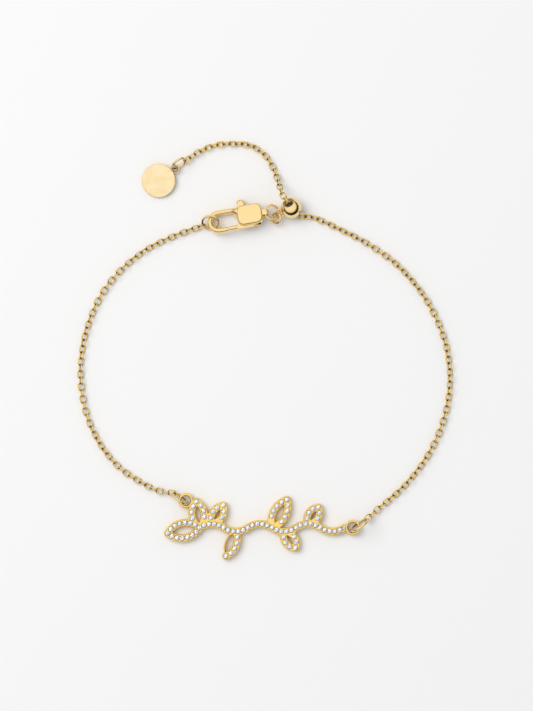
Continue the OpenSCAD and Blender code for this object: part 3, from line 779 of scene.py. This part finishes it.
def plate_shell(sizes, stones):
    """The plate as one closed shell: a fine grid on its face, snapped to its outline, and a flat back."""
    a, b = underside_edges()
    low = np.minimum(a.min(0), b.min(0)) - sizes.grid
    high = np.maximum(a.max(0), b.max(0)) + sizes.grid
    nx, ny = (np.ceil((high - low) / sizes.grid)).astype(int) + 1
    xs = low[0] + np.arange(nx) * sizes.grid
    ys = low[1] + np.arange(ny) * sizes.grid
    cx, cy = np.meshgrid(xs[:-1] + sizes.grid / 2, ys[:-1] + sizes.grid / 2, indexing="ij")
    middle, _ = to_outline(np.stack([cx.ravel(), cy.ravel()], 1), a, b)
    keep = without_pinches((middle > 0).reshape(nx - 1, ny - 1))
    corner = -np.ones((nx, ny), int)
    used = np.zeros((nx, ny), bool)
    for di in (0, 1):
        for dj in (0, 1):
            used[di:nx - 1 + di, dj:ny - 1 + dj] |= keep
    corner[used] = np.arange(used.sum())
    gx, gy = np.meshgrid(xs, ys, indexing="ij")
    points = np.stack([gx[used], gy[used]], 1)
    ci, cj = np.nonzero(keep)
    quads = np.stack([corner[ci, cj], corner[ci + 1, cj], corner[ci + 1, cj + 1], corner[ci, cj + 1]], 1)
    sides = dict.fromkeys((q[k - 1], q[k]) for k in (1, 2, 3, 0) for q in quads.tolist())
    border = [(s, t) for s, t in sides if (t, s) not in sides]
    ring = np.unique(border)
    points[ring] = to_outline(points[ring], a, b)[1]
    relaxed(points, quads, ring)
    distance = np.zeros(len(points))
    inner = np.setdiff1d(np.arange(len(points)), ring)
    distance[inner] = np.maximum(to_outline(points[inner], a, b)[0], 0)
    # The second value is the painted shade round the stones.
    height, cut = plate_relief(points, distance, stones, sizes)
    height[ring] = PLATE_TOP - sizes.edge
    face = np.column_stack([points, height])
    back = np.column_stack([points, np.zeros(len(points))])
    count = len(points)
    faces = [tuple(q) for q in quads.tolist()] + [tuple(q[::-1] + count) for q in quads]
    faces += [(t, s, s + count, t + count) for s, t in border]
    # Painted shade on the face; the flat back gets none.
    recess = np.concatenate([cut, np.zeros(count)])
    return np.vstack([face, back]), faces, recess


def without_pinches(keep):
    """Fills cells that would touch only at a corner."""
    while True:
        one = keep[:-1, :-1] & keep[1:, 1:] & ~keep[1:, :-1] & ~keep[:-1, 1:]
        two = keep[1:, :-1] & keep[:-1, 1:] & ~keep[:-1, :-1] & ~keep[1:, 1:]
        if not one.any() and not two.any():
            return keep
        i, j = np.nonzero(one)
        keep[i + 1, j] = True
        i, j = np.nonzero(two)
        keep[i, j] = True


def relaxed(points, quads, ring):
    """Evens out the grid next to the outline, in place; the outline's own points stay."""
    near = np.zeros(len(points), bool)
    near[ring] = True
    for _ in range(2):
        near[quads[near[quads].any(1)].ravel()] = True
    free = near.copy()
    free[ring] = False
    for _ in range(4):
        total = np.zeros_like(points)
        count = np.zeros(len(points))
        for k in range(4):
            s, t = quads[:, k], quads[:, (k + 1) % 4]
            np.add.at(total, s, points[t])
            np.add.at(count, s, 1)
            np.add.at(total, t, points[s])
            np.add.at(count, t, 1)
        mean = total / np.maximum(count, 1)[:, None]
        points[free] = 0.5 * points[free] + 0.5 * mean[free]


def eye_shell(place, hole):
    """A soldered eye, a flat ring with well rounded edges, and its painted shade: 1 on the wall of its hole,
    0 on its rim.
    """
    profile = rounded_ring(hole, hole + EYE_RIM, PLATE_TOP - EYE_HEIGHT, PLATE_TOP, EYE_ROUND, 6)
    verts, faces = lathe(profile, EYE_STEPS)
    away = np.linalg.norm(verts[:, :2], axis=1)
    return (verts + PLATE_AT + (*place, 0), faces), 1 - ease(*EYE_WALL_SHADE, away - hole)


class BRACELET_OT_plate(bpy.types.Operator):
    """The stone-set plate with its two eyes."""

    bl_idname = "bracelet.plate"
    bl_label = "Plate"

    def execute(self, context):
        sizes = context.scene.bracelet_sizes
        verts, faces, recess = plate_shell(sizes, stone_places())
        # The eyes' painted shade joins the plate's painted shade round the stones.
        eyes, walls = zip(*map(eye_shell, EYE_PLACES, EYE_HOLES))
        verts, faces = joined((verts, faces), *eyes)
        shade = np.concatenate([recess, *walls])
        obj = new_piece("front_plate", verts, faces, finish("cast"), sharp=50, attributes={"recess": shade})
        settle(obj, BRACELET, "gold", "plate")
        return {"FINISHED"}


# Stones and their prongs

TABLE = 0.56
STAR = 0.78
MAINS = 0.28
CROWN = 0.15
STAR_RISE = 0.084
PAVILION = 0.34
MAINS_DROP = 0.2584
GIRDLE = 0.012
STONE_GAP = 0.005
TILT_DEG = 4
PRONG_REACH = 2.75
PRONG_ASIDE = 0.3
PRONG_SUNK = 0.09
PRONG_CLEAR = 0.3
PRONG_APART = 1.6


def cut_stone(radius):
    """A round brilliant, and whether each face is foiled."""
    verts, faces, foil = [], [], []

    def circle(share, height, count, offset):
        start = len(verts)
        for k in range(count):
            a = 2 * math.pi * (k + offset) / count
            verts.append((share * radius * math.cos(a), share * radius * math.sin(a), height))
        return start

    table = circle(TABLE, CROWN, 8, 0.0)
    star = circle(STAR, STAR_RISE, 8, 0.5)
    top = circle(1.0, GIRDLE, 16, 0.0)
    bottom = circle(1.0, -GIRDLE, 16, 0.0)
    mains = circle(MAINS, -MAINS_DROP, 8, 0.5)
    tip = len(verts)
    verts.append((0, 0, -PAVILION))

    def face(*corners, mirrored=False):
        faces.append(corners)
        foil.append(mirrored)

    face(*range(table, table + 8))
    for k in range(8):
        m = (k + 1) % 8
        face(table + k, star + k, table + m)
        face(table + m, star + k, top + 2 * m, star + m)
        face(star + k, top + 2 * k, top + 2 * k + 1)
        face(star + k, top + 2 * k + 1, top + (2 * k + 2) % 16)
        face(mains + k, bottom + 2 * k + 1, bottom + 2 * k, mirrored=True)
        face(mains + k, bottom + (2 * k + 2) % 16, bottom + 2 * k + 1, mirrored=True)
        face(mains + k, bottom + 2 * k, mains + (k - 1) % 8, tip, mirrored=True)
    for k in range(16):
        m = (k + 1) % 16
        face(top + k, bottom + k, bottom + m, top + m)
    return np.array(verts), faces, foil


def stone_model(radius):
    """The stone as an object that the tree copies, its pavilion marked as foil."""
    verts, faces, foil = cut_stone(radius)
    mesh = bpy.data.meshes.new("stone model")
    mesh.from_pydata((verts * MM).tolist(), [], faces)
    mesh.attributes.new("foil", "BOOLEAN", "FACE").data.foreach_set("value", foil)
    return in_scene("stone model", mesh)


class BRACELET_OT_stones(bpy.types.Operator):
    """Round clear stones in their seats, and the small beads of metal that hold them."""

    bl_idname = "bracelet.stones"
    bl_label = "Stones"

    def execute(self, context):
        sizes = context.scene.bracelet_sizes
        stones = stone_places()
        radius = stones[0][1]
        chance = np.random.default_rng(7)
        places = [(*centre, girdle) for centre, _, girdle in stones]
        tilt = np.radians(chance.uniform(-TILT_DEG, TILT_DEG, (len(stones), 3)))
        tilt[:, 2] = np.radians(chance.uniform(0, 45, len(stones)))
        model = stone_model(radius - STONE_GAP)
        obj = grow(seeds("cut_stones", places, tilt), stone_tree(), {
            "Stone": model, "Finish": finish("stone"), "Foil": finish("foil")})
        bpy.data.objects.remove(model)
        settle(obj, BRACELET, "clear_stone", "stones")
        spots = prong_places(np.array([s[0] for s in stones]), radius, sizes)
        beads = grow(seeds("prong_beads", spots, np.zeros((len(spots), 3))), bead_tree(), {
            "Radius": sizes.prong * MM, "Finish": finish("cast")})
        settle(beads, BRACELET, "gold")
        return {"FINISHED"}


def prong_places(centres, radius, sizes):
    """Two beads in each gap between neighbouring stones, one on either side of their line."""
    spots = []
    for i in range(len(centres)):
        for j in range(i + 1, len(centres)):
            line = centres[j] - centres[i]
            gap = np.linalg.norm(line)
            if gap > PRONG_REACH * radius:
                continue
            across = np.array([-line[1], line[0]]) / gap
            for side in (-1, 1):
                spot = (centres[i] + centres[j]) / 2 + side * PRONG_ASIDE * across
                clear = np.linalg.norm(centres - spot, axis=1).min() > radius + PRONG_CLEAR * sizes.prong
                fresh = all(np.linalg.norm(spot - np.array(s[:2])) > PRONG_APART * sizes.prong for s in spots)
                if clear and fresh:
                    spots.append((*spot, PLATE_TOP - PRONG_SUNK))
    return spots


# Clasp, in its own axes: X from the hook to the tail, Y across, Z through

CLASP_AT = np.array([-9.795, 21.635, 1.11])
CLASP_TURN = rotation((-16, -4.8, 9.8))
HOOK_MID = (2.0, -0.25)
HOOK_R = 1.57
ARM_X = (5.42, 2.3)
ARM_Y = 1.32
NOSE_X = (2.2, 3.36)
NOSE_Y = -1.82
SHOULDER_X = (4.2, 5.5)
SHOULDER_DROP = 0.36
SHOULDER_RISE = 0.5
BODY_X = (5.2, 9.57)
BODY_HALF = 1.78
BODY_THICK = 1.21
DOME_SHARES = (0.001, 0.2, 0.4, 0.6, 0.8, 0.93)
BODY_ROUND = 1.1
BODY_EDGE = 0.42
SLOT_HALF = 0.48
SLOT_X = (BODY_X[0] + 0.1, BODY_X[1] - 0.55)
MOUTH_X = (BODY_X[0] - 1, BODY_X[0] + 1)
MOUTH_TOP = 0.6
PAST = 3.0
PIN_X, PIN_Y = 7.8, -0.7
PIN_R = 0.35
ARM_HALF = 0.41
BAR_HALF = 0.42
BAR_TALL = 0.65
BAR_POWER = 2.5
BAR_ROUND = 0.07
BAR_SIDES = 24
PLAN_STEPS = 23


def rounded_box(x0, x1, half_y, half_z, plan_r, edge_r, dome):
    """A pillow-like box: rounded in plan, with rounded edges and slightly domed faces."""
    half_x = (x1 - x0) / 2
    rows = []

    def add_row(inset, share, z):
        """The plan's outline at a height, drawn in by an inset and scaled to a share."""
        points = []
        for sx, sy, start in ((1, 1, 0), (-1, 1, 90), (-1, -1, 180), (1, -1, 270)):
            points += arc(sx * (half_x - plan_r), sy * (half_y - plan_r), plan_r - inset,
                          start, start + 90, PLAN_STEPS)
        rows.append([(x0 + half_x + x * share, y * share, z) for x, y in points])

    for share in DOME_SHARES:
        add_row(edge_r, share, dome * share ** 2 - half_z)
    for a in np.radians(np.linspace(-90, 90, 17)):
        z = np.sign(a) * (half_z - edge_r - dome) + edge_r * math.sin(a)
        add_row(edge_r * (1 - math.cos(a)), 1, z)
    for share in DOME_SHARES[::-1]:
        add_row(edge_r, share, half_z - dome * share ** 2)
    verts = np.vstack(rows)
    return verts, outward(verts, grid_faces(len(rows), len(rows[0])))


def box_shell(x, y, z):
    """A plain box between two places on each axis, used only to cut."""
    verts = [(a, b, c) for a in x for b in y for c in z]
    faces = [(0, 1, 3, 2), (4, 6, 7, 5), (0, 4, 5, 1), (2, 3, 7, 6), (0, 2, 6, 4), (1, 5, 7, 3)]
    return np.array(verts, float), outward(verts, faces)


def cut_away(obj, *cutters):
    """Takes the cutters' shells out of an object."""
    for k, shell in enumerate(cutters):
        tool = new_piece(f"cutter {k}", *shell, finish("polished"))
        modifier = obj.modifiers.new("cut", "BOOLEAN")
        modifier.object = tool
        modifier.operation = "DIFFERENCE"
        modifier.solver = "EXACT"
        apply_modifiers(obj)
        bpy.data.objects.remove(tool)


def soft_start(path, sections, bevel, steps):
    """Rounds the start of a swept bar over a short length."""
    tip, base = path[0], sections[0]
    away = (tip - path[1]) / np.linalg.norm(tip - path[1])
    half = np.abs(base).max(0)
    points, drawn = [], []
    for t in np.linspace(math.pi / 2, 0, steps + 1):
        inset = bevel * (1 - math.cos(t))
        points.append(tip - away * bevel * (1 - math.sin(t)))
        drawn.append(base * np.maximum((half - inset) / half, 0.05))
    return points + list(path[1:]), drawn + list(sections[1:])


def bar(path, sections, start=False, bevel=BAR_ROUND, steps=4):
    """A bar swept over a path in the clasp's plane, its end rounded, and its start too where asked."""
    path = np.column_stack([path, np.zeros(len(path))])
    if start:
        path, sections = soft_start(path, sections, bevel, steps)
    path, sections = soft_start(path[::-1], sections[::-1], bevel, steps)
    return tube(path[::-1], (0, 0, 1), sections[::-1])


def hook_shell():
    """The hook: one bar that leaves the body in a full shoulder and runs round to its nose."""
    arm = np.linspace(*ARM_X, 24)
    full = ease(*SHOULDER_X, arm)
    path = [(x, ARM_Y - SHOULDER_DROP * f) for x, f in zip(arm, full)]
    sections = [oval(ARM_HALF + SHOULDER_DROP * f, BAR_TALL + SHOULDER_RISE * f, BAR_POWER, BAR_SIDES)
                for f in full]
    path += arc(*HOOK_MID, HOOK_R, 90, 270, 32) + [(x, NOSE_Y) for x in np.linspace(*NOSE_X, 6)]
    sections += [oval(BAR_HALF, BAR_TALL, BAR_POWER, BAR_SIDES)] * (len(path) - len(full))
    return bar(path, sections)


def flat_form(name, outline, hole, thickness, bevel):
    """An outline with a round hole, cut from sheet and rounded along its edges."""
    curve = bpy.data.curves.new(name, "CURVE")
    curve.dimensions = "2D"
    curve.fill_mode = "BOTH"
    curve.extrude = (thickness / 2 - bevel) * MM
    curve.bevel_depth = bevel * MM
    curve.bevel_resolution = 3
    curve.offset = -bevel * MM
    x, y, r = hole
    for loop in (outline, arc(x, y, r, 0, 360 * 39 / 40, 39)):
        spline = curve.splines.new("POLY")
        spline.points.add(len(loop) - 1)
        for point, (x, y) in zip(spline.points, loop):
            point.co = (x * MM, y * MM, 0, 1)
        spline.use_cyclic_u = True
    holder = in_scene(name, curve)
    mesh = bpy.data.meshes.new_from_object(holder.evaluated_get(bpy.context.evaluated_depsgraph_get()))
    bpy.data.objects.remove(holder)
    bm = welded(mesh)
    verts = np.array([v.co[:] for v in bm.verts]) / MM
    faces = [tuple(v.index for v in f.verts) for f in bm.faces]
    bm.free()
    bpy.data.meshes.remove(mesh)
    return verts, outward(verts, faces)


def fillet_outline(corners, radius, steps=5):
    """A polygon with its corners rounded."""
    corners = np.array(corners)
    points = []
    for p, last, following in zip(corners, np.roll(corners, 1, 0), np.roll(corners, -1, 0)):
        before, after = last - p, following - p
        reach = min(radius, 0.45 * np.linalg.norm(before), 0.45 * np.linalg.norm(after))
        start = p + before / np.linalg.norm(before) * reach
        end = p + after / np.linalg.norm(after) * reach
        for t in np.linspace(0, 1, steps + 1):
            points.append(tuple((1 - t) ** 2 * start + 2 * t * (1 - t) * p + t * t * end))
    return points


TAIL_X = 9.98
TAIL_HOLE = 0.42
TAIL_OUTER = 0.66
TAIL_WIDTH = 1.0
TAIL_ROOT = BODY_X[1] - 0.25
TAIL_EDGE = 0.09


def tail_eye_shell():
    """The tail eye: a bored lug whose hole runs across the clasp."""
    outline = [
        (TAIL_ROOT, -TAIL_OUTER), *arc(TAIL_X, 0, TAIL_OUTER, -90, 90, 20), (TAIL_ROOT, TAIL_OUTER)]
    shell = flat_form("tail eye", outline, (TAIL_X, 0, TAIL_HOLE), TAIL_WIDTH, TAIL_EDGE)
    upright = np.array([[1, 0, 0], [0, 0, -1], [0, 1, 0]], float)
    return moved(shell, upright, (0, 0, 0))


class BRACELET_OT_clasp(bpy.types.Operator):
    """The lobster clasp's polished body: two cheeks, the hook and the tail eye."""

    bl_idname = "bracelet.clasp"
    bl_label = "Clasp body"

    def execute(self, context):
        dome = context.scene.bracelet_sizes.cheek_dome
        body = rounded_box(*BODY_X, BODY_HALF, BODY_THICK, BODY_ROUND, BODY_EDGE, dome)
        obj = new_piece("clasp_shell", *body, finish("polished"))
        slot = (-SLOT_HALF, SLOT_HALF)
        cut_away(obj, box_shell(SLOT_X, (-PAST, PAST), slot), box_shell(MOUTH_X, (-PAST, MOUTH_TOP), slot))
        verts = np.array([v.co[:] for v in obj.data.vertices]) / MM
        faces = [tuple(p.vertices) for p in obj.data.polygons]
        bpy.data.objects.remove(obj)
        reach = SLOT_HALF + 0.1
        pin = moved(lathe([(0, -reach), (PIN_R, -reach), (PIN_R, reach), (0, reach)], 32), np.eye(3),
                    (PIN_X, PIN_Y, 0))
        whole = joined((verts, faces), hook_shell(), tail_eye_shell(), pin)
        verts, faces = moved(whole, CLASP_TURN, CLASP_AT)
        obj = new_piece("clasp_case", verts, faces, finish("polished"), sharp=35)
        settle(obj, BRACELET, "gold", "clasp_body")
        return {"FINISHED"}


GATE_X = (3.54, 4.95)
GATE_Y = -1.76
GATE_HALF = (0.37, 0.6)
LEVER_HALF = 0.4
LEVER_HOLE = 0.38
LEVER_EDGE = 0.07
LEVER_FILLET = 0.25
LEVER_CORNERS = (
    (4.75, GATE_Y - 0.36), (7.6, GATE_Y - 0.3), (8.6, -1.35), (8.8, -0.5), (8.45, 0.1),
    (6.6, 1.3), (6.6, 2.4), (5.46, 2.4), (5.44, -0.9), (5.0, -1.4), (4.75, -1.42))
THUMB_X = 6.03
THUMB_Y = (0.9, 3.03)
THUMB_HALF = (0.6, 0.44)
THUMB_POWER = 2.6
THUMB_ROUND = 0.36


def thumb_shell():
    """The thumb nub: a rounded bar standing out of the lever."""
    path = [(THUMB_X, y) for y in np.linspace(*THUMB_Y, 12)]
    sections = [oval(*THUMB_HALF, THUMB_POWER, 20)] * len(path)
    return bar(path, sections, bevel=THUMB_ROUND, steps=6)


def gate_shell():
    """The gate: the bar that closes the hook, as thick as the nose it meets."""
    path = [(x, GATE_Y) for x in np.linspace(*GATE_X, 8)]
    return bar(path, [oval(*GATE_HALF, BAR_POWER, BAR_SIDES)] * len(path), start=True)


class BRACELET_OT_lever(bpy.types.Operator):
    """The clasp's lever: gate, thin plate between the cheeks and thumb nub."""

    bl_idname = "bracelet.lever"
    bl_label = "Clasp lever"

    def execute(self, context):
        outline = fillet_outline(LEVER_CORNERS, LEVER_FILLET)
        plate = flat_form("lever plate", outline, (PIN_X, PIN_Y, LEVER_HOLE), 2 * LEVER_HALF, LEVER_EDGE)
        whole = joined(plate, gate_shell(), thumb_shell())
        verts, faces = moved(whole, CLASP_TURN, CLASP_AT)
        obj = new_piece("clasp_trigger", verts, faces, finish("polished"), sharp=35)
        settle(obj, LEVER, "gold", "clasp_lever")
        return {"FINISHED"}


# Slider bead

BEAD_AT = np.array([4.417, 24.12, 2.1])
BEAD_R = 1.78
BORE_R = 0.85
BORE_WAY = np.array([-0.31414, 0.59081, 0.74314])
LIP_R = 0.14
LOOP_OUT = np.array([-0.89516, -0.41742, -0.15643])
LOOP_R = 0.76
LOOP_TIP = 2.8
LOOP_WIRE = 0.15
LOOP_SIDES = 14
LOOP_ROOT = BEAD_R - 0.35
LOOP_LEAN = (28, 120)
LINER_INNER = 0.7
LINER_OUTER = 0.84
LINER_HALF = 1.314
LINER_EDGE = 0.06


def bead_shell():
    """A ball with a bore through it and rolled lips at both mouths."""
    lip_mid = BORE_R + LIP_R
    rise = math.sqrt((BEAD_R - LIP_R) ** 2 - lip_mid ** 2)
    lean = math.degrees(math.atan2(rise, lip_mid))
    profile = (arc(lip_mid, -rise, LIP_R, 180, 360 - lean, 6) + arc(0, 0, BEAD_R, -lean, lean, 40)[1:-1]
               + arc(lip_mid, rise, LIP_R, lean, 180, 6))
    return moved(lathe(profile, 72), axis_turn(BORE_WAY), BEAD_AT)


def loop_shell():
    """The soldered loop: half a ring on two short legs that sink into the ball."""
    rise, heading = (math.radians(degrees) for degrees in LOOP_LEAN)
    lean = np.array([math.cos(rise) * math.cos(heading), math.cos(rise) * math.sin(heading), math.sin(rise)])
    side = lean - (lean @ LOOP_OUT) * LOOP_OUT
    side /= np.linalg.norm(side)
    root = LOOP_TIP - LOOP_R
    leg = np.linspace(LOOP_ROOT, root, 4)[:-1]
    flat = [(x, LOOP_R) for x in leg] + arc(root, 0, LOOP_R, 90, -90, 24) + [(x, -LOOP_R) for x in leg[::-1]]
    path = [BEAD_AT + x * LOOP_OUT + y * side for x, y in flat]
    sections = [oval(LOOP_WIRE, LOOP_WIRE, 2, LOOP_SIDES)] * len(path)
    return tube(path, np.cross(LOOP_OUT, side), sections)


class BRACELET_OT_bead(bpy.types.Operator):
    """The slider bead with its soldered loop, and the soft liner in its bore."""

    bl_idname = "bracelet.bead"
    bl_label = "Slider bead"

    def execute(self, context):
        verts, faces = joined(bead_shell(), loop_shell())
        settle(new_piece("slide_ball", verts, faces, finish("polished")), BRACELET, "gold", "slider_bead")
        profile = rounded_ring(LINER_INNER, LINER_OUTER, -LINER_HALF, LINER_HALF, LINER_EDGE, 3)
        verts, faces = moved(lathe(profile, 48), axis_turn(BORE_WAY), BEAD_AT)
        settle(new_piece("soft_sleeve", verts, faces, finish("liner")), BRACELET, "liner", "bead_liner")
        return {"FINISHED"}


# Tag

TAG_AT = np.array([-18.06, 28.84, 0.0])
TAG_HEADING = 35.7
TAG_TILT = 4.5
TAG_R = 2.85
TAG_H = 0.6
TAG_EYE_R = 0.62
TAG_EYE_WIRE = 0.18
TAG_EYE_SHADE = (-0.2, 0.7)
RIM_LEAN = 0.9
RIM_WIDTH = 0.02


class BRACELET_OT_tag(bpy.types.Operator):
    """The round satin tag with its polished edge and soldered eye."""

    bl_idname = "bracelet.tag"
    bl_label = "Tag"

    def execute(self, context):
        e = context.scene.bracelet_sizes.tag_edge
        profile = ([(0, 0), (TAG_R * 0.5, 0)] + arc(TAG_R - e, e, e, -90, 0, 5)
                   + arc(TAG_R - e, TAG_H - e, e, 0, 90, 5) + [(TAG_R * 0.5, TAG_H), (0, TAG_H)])
        disc = lathe(profile, 112)
        eye_x = TAG_R + TAG_EYE_R - 0.05
        path = [(x, y, TAG_H / 2) for x, y in arc(eye_x, 0, TAG_EYE_R, 0, 360, 40)[:-1]]
        wire = oval(TAG_EYE_WIRE, TAG_EYE_WIRE, 2, LOOP_SIDES)
        eye = tube(path, (0, 0, 1), [wire] * len(path), closed=True)
        flat = joined(disc, eye)
        whole = moved(flat, np.eye(3), (TAG_R, 0, 0))
        whole = moved(whole, rotation((0, -TAG_TILT, 0)), (-TAG_R, 0, 0))
        verts, faces = moved(whole, rotation((0, 0, TAG_HEADING)), TAG_AT)
        # Painted shade on the inner side of the eye's wire, where shade falls; the disc gets none.
        inner = TAG_EYE_R - np.linalg.norm(flat[0][:, :2] - np.array([eye_x, 0]), axis=1)
        shade = ease(*TAG_EYE_SHADE, inner / TAG_EYE_WIRE)
        shade[:len(disc[0])] = 0
        obj = new_piece("round_tag", verts, faces, finish("satin"), attributes={"recess": shade})
        obj.data.materials.append(finish("polished"))
        for face in obj.data.polygons:
            away = math.dist(face.center[:2], TAG_AT[:2] * MM) / MM
            face.material_index = int(abs(face.normal.z) < RIM_LEAN or away > TAG_R - RIM_WIDTH)
        settle(obj, BRACELET, "satin_gold", "tag")
        return {"FINISHED"}


# Stage

VIEW_MM = 0.17 * IMAGE_H
CAMERA_AT = (0.235, -0.89)
CAMERA_UP = 800.0
SENSOR = 36.0
FLOOR_REACH = 900.0
KEY_AT = (-0.39, 0.226, 0.7)
KEY_SIDE = 0.6
KEY_POWER = 4.25
ROOM_LEAN = (-0.16, 0.24, 1.0)
ROOM_TONES = (
    (0.0, "#0A0806"), (0.2, "#1E1812"), (0.34, "#8C8C8C"), (0.5, "#E6E6E6"), (1.0, "#F7F7F7"))
ROOM_SEEN = 1.2
ROOM_FILL = 0.6
FILL = "#F2F5FA"
KEY_LIGHT = "#FFFBF5"


def soft_light(name, at, side, power, colour):
    """A square softbox that faces the bracelet and isn't mirrored in it; place and side in metres."""
    light = bpy.data.lights.new(name, "AREA")
    light.shape = "SQUARE"
    light.size = side
    light.energy = power
    light.color = linear(colour)
    obj = in_scene(name, light)
    obj.location = at
    obj.rotation_euler = (-Vector(at)).to_track_quat("-Z", "Y").to_euler()
    obj.visible_glossy = False


def studio_world():
    """A pale room, dark low down and more so at the lower right, for the polished metal to mirror."""
    world = bpy.data.worlds.new("studio")
    bpy.context.scene.world = world
    world.use_nodes = True
    tree = world.node_tree
    tree.nodes.clear()
    coords = add_node(tree, "ShaderNodeTexCoord")
    height = add_node(
        tree, "ShaderNodeVectorMath", {"operation": "DOT_PRODUCT"}, {1: ROOM_LEAN},
        {0: coords.outputs["Generated"]})
    ramp = add_node(tree, "ShaderNodeValToRGB", links={"Fac": height.outputs["Value"]})
    stops = ramp.color_ramp.elements
    for place, _ in ROOM_TONES[1:-1]:
        stops.new(place)
    for stop, (place, tone) in zip(stops, ROOM_TONES):
        stop.position = place
        stop.color = opaque(linear(tone))
    seen = add_node(
        tree, "ShaderNodeBackground", inputs={"Strength": ROOM_SEEN}, links={"Color": ramp.outputs["Color"]})
    fill = add_node(
        tree, "ShaderNodeBackground", inputs={"Color": opaque(linear(FILL)), "Strength": ROOM_FILL})
    ray = add_node(tree, "ShaderNodeLightPath")
    both = add_node(
        tree, "ShaderNodeMixShader",
        links={0: ray.outputs["Is Diffuse Ray"], 1: seen.outputs["Background"],
               2: fill.outputs["Background"]})
    out = add_node(tree, "ShaderNodeOutputWorld")
    tree.links.new(both.outputs["Shader"], out.inputs["Surface"])


class BRACELET_OT_stage(bpy.types.Operator):
    """Pale floor, soft studio light from the upper left, and the camera straight above."""

    bl_idname = "bracelet.stage"
    bl_label = "Stage"

    def execute(self, context):
        low = CAD_BOX[0][2] / MM
        corners = [(x * FLOOR_REACH, y * FLOOR_REACH, low) for x, y in ((-1, -1), (1, -1), (1, 1), (-1, 1))]
        floor = new_piece("floor", corners, [(0, 1, 2, 3)], finish("paper"))
        studio_world()
        soft_light("key", KEY_AT, KEY_SIDE, KEY_POWER, KEY_LIGHT)
        context.scene.view_settings.view_transform = "Standard"
        camera = bpy.data.cameras.new("overhead")
        camera.sensor_width = SENSOR
        camera.lens = SENSOR * CAMERA_UP / VIEW_MM
        camera.clip_end = 10
        holder = in_scene("overhead", camera)
        holder.location = (CAMERA_AT[0] * MM, CAMERA_AT[1] * MM, CAMERA_UP * MM)
        context.scene.camera = holder
        return {"FINISHED"}


class BRACELET_PT_panel(bpy.types.Panel):
    """Lists the bracelet's pieces, sizes and colours in the sidebar."""

    bl_idname = "BRACELET_PT_panel"
    bl_label = "Nameplate bracelet"
    bl_space_type = "VIEW_3D"
    bl_region_type = "UI"
    bl_category = "Bracelet"

    def draw(self, context):
        for operator in OPERATORS:
            self.layout.operator(operator.bl_idname)
        for group in (context.scene.bracelet_sizes, context.scene.bracelet_colours):
            for key in group.bl_rna.properties.keys():
                if key not in ("rna_type", "name"):
                    self.layout.prop(group, key)


OPERATORS = (
    BRACELET_OT_chains, BRACELET_OT_rings, BRACELET_OT_plate, BRACELET_OT_stones, BRACELET_OT_clasp,
    BRACELET_OT_lever, BRACELET_OT_bead, BRACELET_OT_tag, BRACELET_OT_stage)
CLASSES = (BraceletColours, BraceletSizes, *OPERATORS, BRACELET_PT_panel)


def register():
    for cls in CLASSES:
        bpy.utils.register_class(cls)
    bpy.types.Scene.bracelet_colours = bpy.props.PointerProperty(type=BraceletColours)
    bpy.types.Scene.bracelet_sizes = bpy.props.PointerProperty(type=BraceletSizes)


def unregister():
    del bpy.types.Scene.bracelet_sizes
    del bpy.types.Scene.bracelet_colours
    for cls in reversed(CLASSES):
        bpy.utils.unregister_class(cls)


def main():
    register()
    for operator in OPERATORS:
        group, name = operator.bl_idname.split(".")
        getattr(getattr(bpy.ops, group), name)()


if __name__ == "__main__":
    main()
